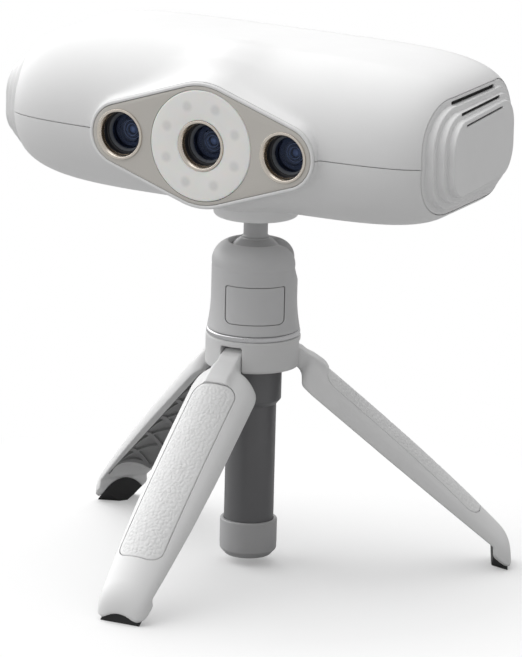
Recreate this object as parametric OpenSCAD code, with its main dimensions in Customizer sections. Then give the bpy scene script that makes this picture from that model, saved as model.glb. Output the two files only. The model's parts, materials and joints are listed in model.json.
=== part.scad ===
// Handheld structured-light scanner on a folding mini tripod.
// The origin is on the tripod's axis at floor level. +Z is up and the scanner looks along -Y.
// Pieces inside the scanner are drawn about the lens centre, where the two case halves meet.

/* [Scanner case] */
// Width of the case, end face to end face
case_w = 155; // [150:1:160]
// Depth of the case without its nose
case_d = 79.2; // [78:0.2:82]
// Height of the case, which is also its rounding from front to back
case_h = 52.8; // [52:0.2:54]
// Rounding radius of the case's two ends
end_r = 18; // [17:0.5:19]
// Wall thickness of the case
wall = 2.2; // [2:0.1:2.4]
// Height of the lens axes above the floor
lens_z = 142.8; // [142:0.2:150]
// Distance of the lens plane's centre behind the tripod axis
scanner_y = 3.3; // [3:0.1:3.6]

/* [Nose] */
// Distance of the front plate ahead of the lens centre plane
nose_f = 41; // [41:0.1:42]
// Radius of the front plate's middle
plate_r = 18.8; // [18.8:0.1:19.2]
// Radius of the front plate's two tips
plate_tip_r = 9.5; // [9.4:0.1:9.7]
// Distance from the centre lens to each outer lens
lens_spacing = 28.85; // [28.5:0.05:29.5]
// Outer radius of the ring light
ring_r = 17.6; // [17.4:0.1:17.6]
// Outer radius of a lens rim
rim_r = 8; // [7.95:0.05:8]

/* [End caps] */
// Height of each step of an end cap
cap_step_z = 3.2; // [3:0.1:3.3]
// Depth of each step of an end cap
cap_step_y = 5.5; // [5:0.5:6]
// Length of a cooling slot
slot_len = 31; // [26:1:34]

/* [Tripod head] */
// Height of the ball's centre
ball_z = 98; // [98:0.1:98.2]
// Radius of the ball
ball_r = 9.4; // [9.2:0.1:9.4]
// Outer radius of the ball housing
head_r = 13.65; // [13.65:0.05:13.8]
// Height of the seam under the ball housing
seam_z = 77.1; // [77.1:0.1:77.2]
// Radius of the neck between the ball and the scanner
neck_r = 3.85; // [3.7:0.05:3.9]
// Direction of the tilt notch about the tripod's axis
notch_az = 30; // [15:1:45]
// Direction of the lock button about the tripod's axis
button_az = -60; // [-62:1:-58]

/* [Legs and column] */
// Outer radius of the leg hub
hub_r = 15.05; // [15.05:0.05:15.2]
// Height of the hub's underside
hub_z = 65.1; // [65:0.1:65.2]
// Distance of a leg's hinge pin from the tripod's axis
pin_r = 11.3; // [11.2:0.1:11.4]
// Height of a leg's hinge pin
pin_z = 69.3; // [69.2:0.1:69.4]
// Outer radius of the legs at their hinges when they are folded
leg_r = 15.2; // [15.1:0.05:15.3]
// Distance of an open leg's end from the tripod's axis
foot_reach = 84; // [83.5:0.1:84.5]
// Radius of the column's tube
tube_r = 7.9; // [7.8:0.05:7.9]

/* [Hidden] */
$fn = 64;

// Case
case_y = 1.4;                       // the case's middle lies behind the lens plane's centre
case_z = 1.2;                       // and above it
flat_y = (case_d - case_h) / 2;     // half length of the flat stretch between the two roundings
floor_z = case_z - case_h / 2;      // underside of the case
ceiling_z = case_z + case_h / 2;
lip = 1.2;                          // width of the case's edge around the front plate
plate_t = 1.6;
ledge = 1;                          // ledge that the front plate rests on
flare_f = 20;                       // the nose flares back to this distance ahead of the lens plane
flare_grow = 4.5;
flare_up = 1;
nose_back_f = 20;

// Lens stack: distances ahead of the lens centre plane
rim_back_f = 38.7;
rim_proud = 0.2;
barrel_r = 7.9;
barrel_back_f = 26;
lens_r = 6.2;
lens_back_f = 30.5;
lens_dome_r = 12;
lens_front_f = 34;
ring_hole_r = 8.15;
ring_t = 2.4;
led_board_f = 35.4;
board_t = 1.6;
led_circle_r = 13;
led_count = 8;

// Bracket and boards
bracket_w = 92;
bracket_h = 28;
bracket_t = 2.5;
bracket_f = barrel_back_f - board_t;
bracket_foot_z = -16;
bracket_foot_t = 2.2;
bracket_screw_xy = [38, -16.5];
board_w = 104;
board_d = 40;
board_y = 11;                       // middle of the main board
board_z = -10;
board_screw_x = 44;
board_screw_ys = [-5, 13];
socket_w = 16;
socket_h = 7;
socket_back_y = 40;

// Case screws
screw_x = 62;
screw_ys = [-9, 13];
screw_r = 1.25;
screw_gap = 0.03;
screw_head_r = 2.8;
screw_head_z = -16;

// End caps
cap_half_y = 33;
cap_half_z = 18.3;
cap_corner_r = 17;
cap_back_x = 71;
cap_face_xs = [73.8, 75.7, case_w / 2];
slot_heights = [1.3, 1, 0.7];
slot_y = 0.7;

// Tripod socket under the case
boss_r = 13.5;
boss_z = -29.2;
insert_r = 4.6;
insert_flange_r = 6.5;
insert_seat_z = -19.5;
stud_r = 3.175;
stud_len = 5.8;
run_gap = 0.05;                     // radial clearance of a running fit
ball_gap = 0.06;

// Ball housing
neck_top_z = lens_z + boss_z - run_gap;
skirt_r = 4.6;
skirt_top_z = ball_z + 9;
dome_r = 6.6;
dome_z = 98.9;
flare_top_z = 88;
flare_w = 1.1;
flare_steps = 8;
spigot_r = 11.5;
spigot_top_z = 80.4;
spigot_bore_r = 8.5;
opening_low_z = 103.2;
opening_low_r = 7.3;
opening_top_r = 9.2;
notch_w = 9;
seat_low_z = 84.5;
seat_top_z = 92.5;
button_w = 18.3;
button_low_z = 80.9;
button_top_z = 92.7;
button_back_r = 12.1;
button_core_r = 10.9;
button_gap = 0.15;
button_z = (button_low_z + button_top_z) / 2;
plunger_r = 1.8;
plunger_tip_r = 10.2;

// Hub, column and legs
ring_low_z = 75.35;
hub_top_z = 75.3;
hub_floor_z = 76.5;                 // floor inside the spigot, under the seat's spring
hinge_pin_r = 1.25;
tongue_w = 7;
tongue_r = 3;
slot_gap = 0.2;
slot_in_r = 7.4;
slot_roof_z = 73.4;
pin_half = 8.2;
collar_r = 9.4;
collar_low_z = 52.5;
collar_chamfer = 1.5;
tube_bore_r = 6.4;
tube_low_z = 6;
cap_r = 9.1;
cap_low_z = 2.6;
cap_top_z = 14.5;
hub_screw_r = 2;
hub_screw_top_z = 73;
tube_top_t = 4;
leg_azimuths = [270, 30, 150];      // front, right and left leg
open_deg = 50;
leg_taper = 2.8;                    // a folded leg's outer face comes in by this much, 90 below the pin
leg_half_w = 11.6;
leg_edge_x = 7.1;                   // where the inner edges of a folded leg's flanks stand
leg_in_r = 10.2;
leg_low = 106;
leg_side_gap = 0.4;                 // between neighbouring legs when they are folded
shell_gap = 0.6;                    // the pad holds the shell this far off the floor
shoulder_x = 15.5;                  // the leg's shoulders stop this far from the axis when open
leg_top = 6.5;                      // distance of the shell's shoulder below the pin
shoulder_r = 8;
toe_reach = 78;                     // the toe stands between this distance from the axis and the end
toe_top = 88;
toe_arch_r = 10.1;                  // the arch under the toe
toe_arch_x = -3;
pocket_r = 11.8;
pocket_half_deg = 48;
pocket_top = 12;
pocket_low = 86;
inlay_half_w = 7.5;
inlay_top = 13.5;
inlay_low = 80;
inlay_t = 0.6;
liner_in_r = 10.4;
liner_skin_r = 11.2;
liner_low = 85.9;
rib_pitch = 12;
rib_w = 1.3;
foot_set_back = 1.2;

// ---- Helpers ----

// Places its children in the scanner, about the lens centre
module in_scanner() translate([0, scanner_y, lens_z]) children();

// Stands a shape that grows along +Z on the plane at distance f ahead, growing forwards
module facing(f, x = 0) translate([x, -f, 0]) rotate([90, 0, 0]) children();

// Extrudes a flat shape, drawn in Y and Z, along X
module along_x(x, t) translate([x, 0, 0]) rotate([90, 0, 90]) linear_extrude(t) children();

module rounded_rect(w, h, r) {
    square([w - 2 * r, h], center = true);
    square([w, h - 2 * r], center = true);
    for (x = [-1, 1], y = [-1, 1])
        translate([x * (w / 2 - r), y * (h / 2 - r)]) circle(r);
}

// Outline round a middle circle and two smaller tip circles
module diamond(middle_r, tip_r) hull() {
    circle(middle_r);
    for (x = [-1, 1]) translate([x * lens_spacing, 0]) circle(tip_r);
}

// The case's outer form, or the same form with every face moved in by inset
module case_form(inset = 0) {
    w = case_w - 2 * inset;
    h = case_h - 2 * inset;
    r = end_r - inset;
    translate([0, case_y, case_z]) {
        rotate([90, 0, 0]) linear_extrude(2 * flat_y, center = true) rounded_rect(w, h, r);
        for (m = [0, 1]) mirror([0, m, 0]) translate([0, flat_y, 0]) rotate([0, 90, 0])
            rotate_extrude(angle = 180) intersection() {
                rounded_rect(h, w, r);
                translate([0, -w / 2]) square([h / 2, w]);
            }
    }
}

// A band about the Z axis that spans half_deg each side of +X
module arc_band(r0, r1, half_deg, z0, z1) rotate([0, 0, -half_deg])
    rotate_extrude(angle = 2 * half_deg) translate([r0, z0]) square([r1 - r0, z1 - z0]);

// Pan-head screw whose head stands on z = 0, with its shank below
module screw(shank_r, length, head_r, head_h) {
    cylinder(r = head_r, h = head_h);
    translate([0, 0, -length]) cylinder(r = shank_r, h = length + 0.1);
}

// Points round a coil spring's wire
function coil_ring(a, r, wire_r, z, sides) =
    [for (i = [0:sides - 1]) let (b = 360 * i / sides)
        [(r + wire_r * cos(b)) * cos(a), (r + wire_r * cos(b)) * sin(a), z + wire_r * sin(b)]];

module coil(r, wire_r, z0, z1, turns) {
    sides = 8;
    steps = turns * 20;
    rise = z1 - z0 - 2 * wire_r;
    points = [for (k = [0:steps], p = coil_ring(360 * turns * k / steps, r, wire_r,
        z0 + wire_r + rise * k / steps, sides)) p];
    skin = [for (k = [0:steps - 1], i = [0:sides - 1], half = [0, 1])
        let (a = k * sides + i, b = k * sides + (i + 1) % sides)
            half == 0 ? [a, a + sides, b] : [b, a + sides, b + sides]];
    low_end = [for (i = [0:sides - 1]) i];
    high_end = [for (i = [sides - 1:-1:0]) steps * sides + i];
    polyhedron(points, concat([low_end], skin, [high_end]));
}

// ---- Scanner case ----

module nose_form() hull() {
    facing(nose_f - 0.6) linear_extrude(0.6) diamond(plate_r + lip, plate_tip_r + lip, $fn = 32);
    translate([0, 0, flare_up]) facing(flare_f) linear_extrude(0.5)
        diamond(plate_r + lip + flare_grow, plate_tip_r + lip + 2, $fn = 32);
}

module nose_space() {
    facing(nose_back_f) linear_extrude(nose_f - plate_t - nose_back_f)
        diamond(plate_r - ledge, plate_tip_r - ledge);
    facing(nose_f - plate_t - 0.1) linear_extrude(plate_t + 1) diamond(plate_r, plate_tip_r);
}

// Opening for an end cap; the left one is its mirror image
module cap_openings() for (m = [0, 1]) mirror([m, 0, 0])
    translate([0, case_y, case_z]) along_x(cap_back_x - 3, 12)
        rounded_rect(2 * cap_half_y, 2 * cap_half_z, cap_corner_r);

module at_case_screws() for (x = [-1, 1], y = screw_ys) translate([x * screw_x, y, 0]) children();

module at_bracket_screws() for (x = [-1, 1])
    translate([x * bracket_screw_xy[0], bracket_screw_xy[1], 0]) children();

module at_board_screws() for (x = [-1, 1], y = board_screw_ys)
    translate([x * board_screw_x, y, 0]) children();

// Half of the hollow case: up is 1 for the top half and -1 for the bottom half
module case_half(up) difference() {
    intersection() {
        union() {
            case_form();
            nose_form();
        }
        translate([-100, -100, up > 0 ? 0 : -100]) cube([200, 200, 100]);
    }
    case_form(wall);
    nose_space();
    cap_openings();
}

module top_shell() color("white") in_scanner() difference() {
    union() {
        case_half(1);
        at_case_screws() cylinder(r = 3.4, h = ceiling_z - wall + 0.6);
    }
    at_case_screws() translate([0, 0, -0.1]) cylinder(r = screw_r + screw_gap, h = 12.1);
}

module bottom_shell() color("whitesmoke") in_scanner() difference() {
    union() {
        case_half(-1);
        at_case_screws() translate([0, 0, floor_z + 1]) cylinder(r = 3.8, h = -floor_z - 1);
        at_board_screws() translate([0, 0, floor_z + 1]) cylinder(r = 3, h = board_z - floor_z - 1);
        at_bracket_screws() translate([0, 0, floor_z + 2])
            cylinder(r = 3, h = bracket_foot_z - floor_z - 2);
        translate([0, -scanner_y, boss_z]) {
            cylinder(r1 = boss_r - 1, r2 = boss_r, h = 1);
            translate([0, 0, 1]) cylinder(r = boss_r, h = floor_z + 1 - boss_z - 1);
            cylinder(r = 8, h = insert_seat_z - boss_z);
        }
    }
    at_case_screws() {
        translate([0, 0, floor_z - 1]) cylinder(r = screw_head_r + 0.2, h = screw_head_z - floor_z + 1);
        translate([0, 0, floor_z - 1]) cylinder(r = screw_r + 0.25, h = 1.1 - floor_z);
    }
    at_board_screws() translate([0, 0, board_z - 7]) cylinder(r = 0.98, h = 7.1);
    at_bracket_screws() translate([0, 0, bracket_foot_z - 5.5]) cylinder(r = 1.23, h = 5.6);
    translate([0, -scanner_y, boss_z - 0.1]) cylinder(r = insert_r + 0.02, h = 12);
    translate([-socket_w / 2 - 0.1, 30, board_z + board_t - 0.1])
        cube([socket_w + 0.2, 15, socket_h + 0.2]);
}

module end_cap(side) color("gainsboro") in_scanner() mirror([side < 0 ? 1 : 0, 0, 0])
    translate([0, case_y, case_z]) difference() {
        for (k = [0:2]) along_x(cap_back_x, cap_face_xs[k] - cap_back_x)
            rounded_rect(2 * (cap_half_y - k * cap_step_y), 2 * (cap_half_z - k * cap_step_z),
                cap_corner_r - 2.5 * k);
        for (k = [0:2])
            translate([cap_back_x - 1, slot_y - case_y - slot_len / 2,
                cap_half_z - (k + 0.5) * cap_step_z - slot_heights[k] / 2])
                cube([10, slot_len, slot_heights[k]]);
    }

module left_end_cap() end_cap(-1);
module right_end_cap() end_cap(1);

module case_screws() color("dimgray") in_scanner() at_case_screws()
    translate([0, 0, screw_head_z]) mirror([0, 0, 1])
        screw(screw_r, -screw_head_z + 10, screw_head_r, 2);

module tripod_insert() color("gold") in_scanner() translate([0, -scanner_y, 0]) difference() {
    union() {
        translate([0, 0, boss_z]) cylinder(r = insert_r, h = insert_seat_z - boss_z + 0.1);
        translate([0, 0, insert_seat_z]) cylinder(r = insert_flange_r, h = 1.2);
    }
    translate([0, 0, boss_z - 0.1]) cylinder(r = stud_r + run_gap, h = 8.3);
}

// ---- Nose: plate, ring light and lenses ----

module nose_plate() color([0.72, 0.70, 0.67]) in_scanner()
    facing(nose_f - plate_t) linear_extrude(plate_t) difference() {
        diamond(plate_r, plate_tip_r);
        circle(ring_r + 0.05);
        for (x = [-1, 1]) translate([x * lens_spacing, 0]) circle(rim_r + 0.05);
    }

module ring_diffuser() color([0.95, 0.94, 0.90]) in_scanner()
    facing(nose_f - ring_t) linear_extrude(ring_t) difference() {
        circle(ring_r);
        circle(ring_hole_r);
    }

module led_board() color("darkgreen") in_scanner()
    facing(led_board_f) linear_extrude(1.2) difference() {
        circle(ring_r - 0.6);
        circle(barrel_r + 0.7);
    }

module leds() color("khaki") in_scanner() for (i = [0:led_count - 1])
    facing(led_board_f + 1.2) rotate([0, 0, 360 * (i + 0.5) / led_count])
        translate([led_circle_r - 1.4, -1.4, 0]) cube([2.8, 2.8, 0.8]);

module lens_rim(x) color("silver") in_scanner() facing(0, x) rotate_extrude()
    polygon([[rim_r - 1, rim_back_f], [rim_r, rim_back_f], [rim_r, nose_f + rim_proud],
        [rim_r - 0.3, nose_f + rim_proud], [rim_r - 1, nose_f - 1.2]]);

module left_lens_rim() lens_rim(-lens_spacing);
module centre_lens_rim() lens_rim(0);
module right_lens_rim() lens_rim(lens_spacing);

module lens_barrel(x) color([0.12, 0.12, 0.13]) in_scanner() facing(0, x) rotate_extrude()
    polygon([[4.5, barrel_back_f], [barrel_r, barrel_back_f], [barrel_r, rim_back_f],
        [rim_r - 1.1, rim_back_f], [rim_r - 1.1, lens_front_f + 0.5], [lens_r, lens_front_f + 0.5],
        [lens_r, lens_back_f], [4.5, lens_back_f]]);

module left_camera_barrel() lens_barrel(-lens_spacing);
module projector_barrel() lens_barrel(0);
module right_camera_barrel() lens_barrel(lens_spacing);

module lens(x) color([0.1, 0.13, 0.25]) in_scanner() intersection() {
    facing(lens_back_f, x) cylinder(r = lens_r, h = 4);
    translate([x, lens_dome_r - lens_front_f, 0]) sphere(lens_dome_r);
}

module left_lens() lens(-lens_spacing);
module projector_lens() lens(0);
module right_lens() lens(lens_spacing);

module sensor_board(x) color("seagreen") in_scanner()
    facing(bracket_f, x) linear_extrude(board_t) square(17, center = true);

module left_sensor_board() sensor_board(-lens_spacing);
module projector_board() sensor_board(0);
module right_sensor_board() sensor_board(lens_spacing);

// ---- Inside the case ----

module optical_bracket() color("lightsteelblue") in_scanner() difference() {
    union() {
        translate([-bracket_w / 2, -bracket_f, bracket_foot_z])
            cube([bracket_w, bracket_t, bracket_h + 2]);
        translate([-bracket_w / 2, -bracket_f, bracket_foot_z]) cube([bracket_w, 12.5, bracket_foot_t]);
        for (a = [30, 150, 270]) facing(bracket_f - 0.1) rotate([0, 0, a]) translate([15, 0, 0])
            cylinder(r = 1.5, h = led_board_f - bracket_f + 0.1);
    }
    at_bracket_screws() translate([0, 0, bracket_foot_z - 1]) cylinder(r = 1.3, h = 5);
}

module bracket_screws() color("dimgray") in_scanner() at_bracket_screws()
    translate([0, 0, bracket_foot_z + bracket_foot_t]) screw(1.2, 7, 2.2, 1.4);

module main_board() color("seagreen") in_scanner() difference() {
    translate([-board_w / 2, board_y - board_d / 2, board_z]) cube([board_w, board_d, board_t]);
    at_board_screws() translate([0, 0, board_z - 1]) cylinder(r = 1.1, h = 5);
}

module board_screws() color("dimgray") in_scanner() at_board_screws()
    translate([0, 0, board_z + board_t]) screw(0.95, 7.5, 2, 1.2);

module heat_sink() color("silver") in_scanner() translate([-22, -6, board_z + board_t]) {
    cube([44, 24, 3]);
    for (i = [0:6]) translate([i * 7.1, 0, 2.9]) cube([1.4, 24, 12]);
}

module rear_socket() color([0.15, 0.15, 0.16]) in_scanner() difference() {
    translate([-socket_w / 2, 24, board_z + board_t]) cube([socket_w, socket_back_y - 24, socket_h]);
    translate([0, socket_back_y + 0.1, board_z + board_t + socket_h / 2]) rotate([90, 0, 0])
        linear_extrude(7) difference() {
            rounded_rect(9, 3.4, 1.6);
            rounded_rect(6.6, 0.8, 0.3);
        }
}

// ---- Ball head ----

module ball_stem() color("gray") {
    translate([0, 0, ball_z]) sphere(ball_r);
    translate([0, 0, skirt_top_z - 0.85]) cylinder(r1 = skirt_r, r2 = neck_r, h = 0.85);
    translate([0, 0, ball_z]) cylinder(r = neck_r, h = neck_top_z - ball_z);
    translate([0, 0, ball_z]) cylinder(r = stud_r, h = neck_top_z + stud_len - ball_z);
}

module ball_seat() color("dimgray") difference() {
    translate([0, 0, seat_low_z]) cylinder(r = ball_r - 0.1, h = seat_top_z - seat_low_z);
    translate([0, 0, ball_z]) sphere(ball_r + ball_gap);
    translate([0, 0, seat_low_z - 1]) cylinder(r = 2.5, h = 10);
}

module seat_spring() color("silver") coil(6.5, 0.6, hub_floor_z, seat_low_z, 4);

// Half section of the ball housing's outer form: flared foot, straight wall, rounded shoulder
module head_section() {
    polygon(concat([[0, seam_z]],
        [for (i = [0:flare_steps]) let (t = i / flare_steps)
            [head_r + flare_w * pow(1 - t, 2), seam_z + (flare_top_z - seam_z) * t]],
        [[0, flare_top_z]]));
    translate([0, flare_top_z - 1]) square([head_r, dome_z - flare_top_z + 1]);
    translate([0, flare_top_z]) square([head_r - dome_r, dome_z + dome_r - flare_top_z]);
    translate([head_r - dome_r, dome_z]) circle(dome_r);
}

// Half section of the space inside it: spigot bore, ball bore, ball socket and flared mouth
module head_bore_section() {
    bore_r = ball_r + ball_gap;
    translate([0, seam_z - 1]) square([spigot_r + 0.03, spigot_top_z + 1.2 - seam_z]);
    translate([0, seam_z]) square([bore_r, ball_z - seam_z]);
    intersection() {
        translate([0, ball_z]) circle(bore_r);
        translate([0, ball_z - 1]) square(2 * bore_r);
    }
    translate([0, opening_low_z]) polygon([[0, 0], [opening_low_r, 0],
        [opening_top_r, dome_z + dome_r + 1 - opening_low_z], [0, dome_z + dome_r + 1 - opening_low_z]]);
}

// Block behind the button's outline, before the housing's form trims it
module button_block(gap) rotate([0, 0, button_az])
    translate([4, -button_w / 2 - gap, button_low_z - gap])
        cube([20, button_w + 2 * gap, button_top_z - button_low_z + 2 * gap]);

module plunger(r, from_r) rotate([0, 0, button_az])
    translate([from_r, 0, button_z]) rotate([0, 90, 0]) cylinder(r = r, h = button_back_r + 0.3 - from_r);

module ball_housing() color("silver") difference() {
    rotate_extrude() difference() {
        head_section();
        head_bore_section();
    }
    rotate([0, 0, notch_az]) translate([0, -notch_w / 2, ball_z - notch_w / 2])
        cube([20, notch_w, 20]);
    difference() {
        button_block(button_gap);
        cylinder(r = button_core_r, h = 200);
    }
    plunger(plunger_r + run_gap, 5);
}

module lock_button() color("lightgray") {
    difference() {
        intersection() {
            rotate_extrude() head_section();
            button_block(0);
        }
        cylinder(r = button_back_r, h = 200);
    }
    plunger(plunger_r, plunger_tip_r);
}

module button_spring() color("silver") difference() {
    rotate([0, 0, button_az]) arc_band(button_core_r + 0.03, button_core_r + 0.3, 28,
        button_z - 3.2, button_z + 3.2);
    plunger(plunger_r + 0.4, 5);
}

module trim_ring() color("lightslategray") translate([0, 0, ring_low_z]) difference() {
    cylinder(r = hub_r - 0.15, h = seam_z - 0.05 - ring_low_z);
    translate([0, 0, -1]) cylinder(r = spigot_r + 0.03, h = 5);
}

// ---- Hub and column ----

module at_legs() for (a = leg_azimuths) rotate([0, 0, a]) children();

module hinge_pin(r, half) translate([pin_r, 0, pin_z]) rotate([90, 0, 0])
    cylinder(r = r, h = 2 * half, center = true);

module leg_hub() color("lightgray") difference() {
    union() {
        translate([0, 0, hub_z]) cylinder(r1 = hub_r - 0.6, r2 = hub_r, h = 0.6);
        translate([0, 0, hub_z + 0.6]) cylinder(r = hub_r, h = hub_top_z - hub_z - 0.6);
        translate([0, 0, hub_z + 0.6]) cylinder(r = spigot_r, h = spigot_top_z - hub_z - 0.6);
    }
    translate([0, 0, hub_floor_z]) cylinder(r = spigot_bore_r, h = 10);
    translate([0, 0, hub_z - 1]) cylinder(r = hub_screw_r + 0.02, h = hub_screw_top_z + 1.5 - hub_z);
    at_legs() {
        translate([slot_in_r, -tongue_w / 2 - slot_gap, hub_z - 1])
            cube([10, tongue_w + 2 * slot_gap, slot_roof_z + 1 - hub_z]);
        hinge_pin(hinge_pin_r + 0.01, 9);
    }
}

module hinge_pins() color("dimgray") at_legs() hinge_pin(hinge_pin_r, pin_half);

module hub_screw() color("dimgray") translate([0, 0, hub_z - tube_top_t]) mirror([0, 0, 1])
    screw(hub_screw_r, hub_screw_top_z - hub_z + tube_top_t, 4, 3);

module column_collar() color("dimgray") difference() {
    union() {
        translate([0, 0, collar_low_z]) cylinder(r1 = tube_r + 0.1, r2 = collar_r, h = collar_chamfer);
        translate([0, 0, collar_low_z + collar_chamfer])
            cylinder(r = collar_r, h = hub_z - collar_low_z - collar_chamfer);
    }
    translate([0, 0, collar_low_z - 1]) cylinder(r = tube_r + 0.02, h = 20);
}

module column_tube() color("gray") difference() {
    translate([0, 0, tube_low_z]) cylinder(r = tube_r, h = hub_z - tube_low_z);
    translate([0, 0, tube_low_z - 1]) cylinder(r = tube_bore_r, h = hub_z - tube_top_t - tube_low_z + 1);
    translate([0, 0, tube_low_z]) cylinder(r = hub_screw_r + 0.05, h = 80);
}

module column_cap() color("darkgray") difference() {
    union() {
        translate([0, 0, cap_low_z]) cylinder(r1 = cap_r - 1.4, r2 = cap_r, h = 2);
        translate([0, 0, cap_low_z + 2]) cylinder(r = cap_r, h = cap_top_z - cap_low_z - 2);
    }
    translate([0, 0, tube_low_z]) cylinder(r = tube_r + 0.02, h = 20);
}

// ---- Legs ----
// A leg is drawn folded, with its band about the column, and then swung open on its pin.

module leg_place(azimuth) rotate([0, 0, azimuth]) translate([pin_r, 0, pin_z])
    rotate([0, -open_deg, 0]) translate([-pin_r, 0, 0]) children();

// Outer face of a folded leg, coming in towards its end
module leg_form(inset = 0) rotate_extrude() polygon(concat([[0, 6], [leg_r - inset, 6]],
    [for (z = [-20:-10:-leg_low]) [leg_r - leg_taper * pow(-z / 90, 3) - inset, z]],
    [[leg_r - leg_taper * pow(leg_low / 90, 3) - inset, -leg_low], [0, -leg_low]]));

// A leg from outside: rounded shoulders, and flanks that draw in towards the foot
module leg_outline() hull() for (y = [-1, 1]) {
    translate([y * (leg_half_w - shoulder_r), -leg_top - shoulder_r]) circle(shoulder_r);
    for (p = [[0, 45], [0.6, 65], [1.8, 84], [2.8, 97], [3.7, leg_low]])
        translate([y * (leg_half_w - p[0] - 0.5) - 0.5, -p[1]]) square([1, 0.1]);
}

// The third of a turn that a folded leg keeps to
module leg_third() translate([leg_side_gap / sqrt(3), 0, -leg_low - 1]) linear_extrude(leg_low + 10)
    polygon([[0, 0], [20, 20 * sqrt(3)], [20, -20 * sqrt(3)]]);

module inlay_outline() translate([0, -(inlay_top + inlay_low) / 2])
    rounded_rect(2 * inlay_half_w, inlay_low - inlay_top, 4);

module tongue() rotate([90, 0, 0]) linear_extrude(tongue_w, center = true) hull() {
    translate([pin_r, 0]) circle(tongue_r);
    translate([leg_r - tongue_r, -tongue_r]) circle(tongue_r);
    translate([pin_r - 1, -pocket_top + 1]) square([leg_r - pin_r + 0.6, 1]);
}

// The space that an open leg may fill, between two upright planes and above a height
module leg_space(azimuth, x0, x1, z0) rotate([0, 0, azimuth])
    translate([x0, -30, z0]) cube([x1 - x0, 60, 100]);

module leg_shell(azimuth) color("white") difference() {
    union() {
        intersection() {
            leg_place(azimuth) intersection() {
                leg_form();
                along_x(0, 30) leg_outline();
                leg_third();
            }
            leg_space(azimuth, shoulder_x, foot_reach, shell_gap);
        }
        leg_place(azimuth) tongue();
    }
    intersection() {
        leg_place(azimuth) translate([leg_edge_x - 20, -20, -leg_low]) cube([20, 40, leg_low - 3.5]);
        leg_space(azimuth, -20, toe_reach, -10);
    }
    leg_place(azimuth) {
        translate([0, 0, -toe_top]) cylinder(r = leg_in_r, h = toe_top - 3.5);
        translate([toe_arch_x, 0, -leg_low]) cylinder(r = toe_arch_r, h = leg_low - toe_top + 0.1);
        arc_band(leg_in_r - 4, pocket_r, pocket_half_deg, -pocket_low, -pocket_top);
        difference() {
            along_x(0, 30) inlay_outline();
            leg_form(inlay_t);
        }
        translate([pin_r, 0, 0]) rotate([90, 0, 0])
            cylinder(r = hinge_pin_r + run_gap, h = 20, center = true);
    }
}

module leg_inlay(azimuth) color("snow") leg_place(azimuth) difference() {
    intersection() {
        leg_form();
        along_x(0, 30) inlay_outline();
    }
    leg_form(inlay_t);
}

// Crossed ribs inside a frame, drawn flat
module rib_pattern() {
    for (z = [pocket_top + rib_pitch / 2:rib_pitch:liner_low], a = [-45, 45])
        translate([0, -z]) rotate(a) square([rib_pitch * 1.6, rib_w], center = true);
    for (z = [pocket_top, liner_low - 2]) translate([-10, -z - 2]) square([20, 2]);
}

module leg_liner(azimuth) color("dimgray") leg_place(azimuth) {
    arc_band(liner_skin_r, pocket_r, pocket_half_deg - 0.1, -liner_low, -pocket_top);
    intersection() {
        arc_band(liner_in_r, liner_skin_r + 0.05, pocket_half_deg - 0.1, -liner_low, -pocket_top);
        along_x(0, 30) rib_pattern();
    }
}

module foot_pad(azimuth) color([0.2, 0.2, 0.2]) intersection() {
    leg_place(azimuth) intersection() {
        translate([toe_arch_x, 0, -leg_low]) cylinder(r = toe_arch_r - 0.05, h = leg_low - toe_top);
        leg_third();
    }
    leg_space(azimuth, toe_reach, foot_reach - foot_set_back, 0);
}

module front_leg_shell() leg_shell(leg_azimuths[0]);
module front_leg_inlay() leg_inlay(leg_azimuths[0]);
module front_leg_liner() leg_liner(leg_azimuths[0]);
module front_foot_pad() foot_pad(leg_azimuths[0]);
module right_leg_shell() leg_shell(leg_azimuths[1]);
module right_leg_inlay() leg_inlay(leg_azimuths[1]);
module right_leg_liner() leg_liner(leg_azimuths[1]);
module right_foot_pad() foot_pad(leg_azimuths[1]);
module left_leg_shell() leg_shell(leg_azimuths[2]);
module left_leg_inlay() leg_inlay(leg_azimuths[2]);
module left_leg_liner() leg_liner(leg_azimuths[2]);
module left_foot_pad() foot_pad(leg_azimuths[2]);

top_shell();
bottom_shell();
nose_plate();
ring_diffuser();
led_board();
leds();
left_lens_rim();
centre_lens_rim();
right_lens_rim();
left_camera_barrel();
projector_barrel();
right_camera_barrel();
left_lens();
projector_lens();
right_lens();
left_sensor_board();
projector_board();
right_sensor_board();
optical_bracket();
bracket_screws();
main_board();
board_screws();
heat_sink();
rear_socket();
left_end_cap();
right_end_cap();
case_screws();
tripod_insert();
ball_stem();
ball_seat();
seat_spring();
ball_housing();
lock_button();
button_spring();
trim_ring();
leg_hub();
hinge_pins();
hub_screw();
column_collar();
column_tube();
column_cap();
front_leg_shell();
front_leg_inlay();
front_leg_liner();
front_foot_pad();
right_leg_shell();
right_leg_inlay();
right_leg_liner();
right_foot_pad();
left_leg_shell();
left_leg_inlay();
left_leg_liner();
left_foot_pad();
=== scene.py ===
"""Looks of a handheld scanner on its folding mini tripod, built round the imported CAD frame.

Shapes are drawn in millimetres in the row frame (+Z up, the scanner looks along -Y) and scaled to
metres when a piece is made. Soft forms come from distance fields, and crisp openings are cut from
them afterwards.
"""

import json
import math

import bmesh
import bpy
import numpy as np
from mathutils import Matrix, Vector


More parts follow.
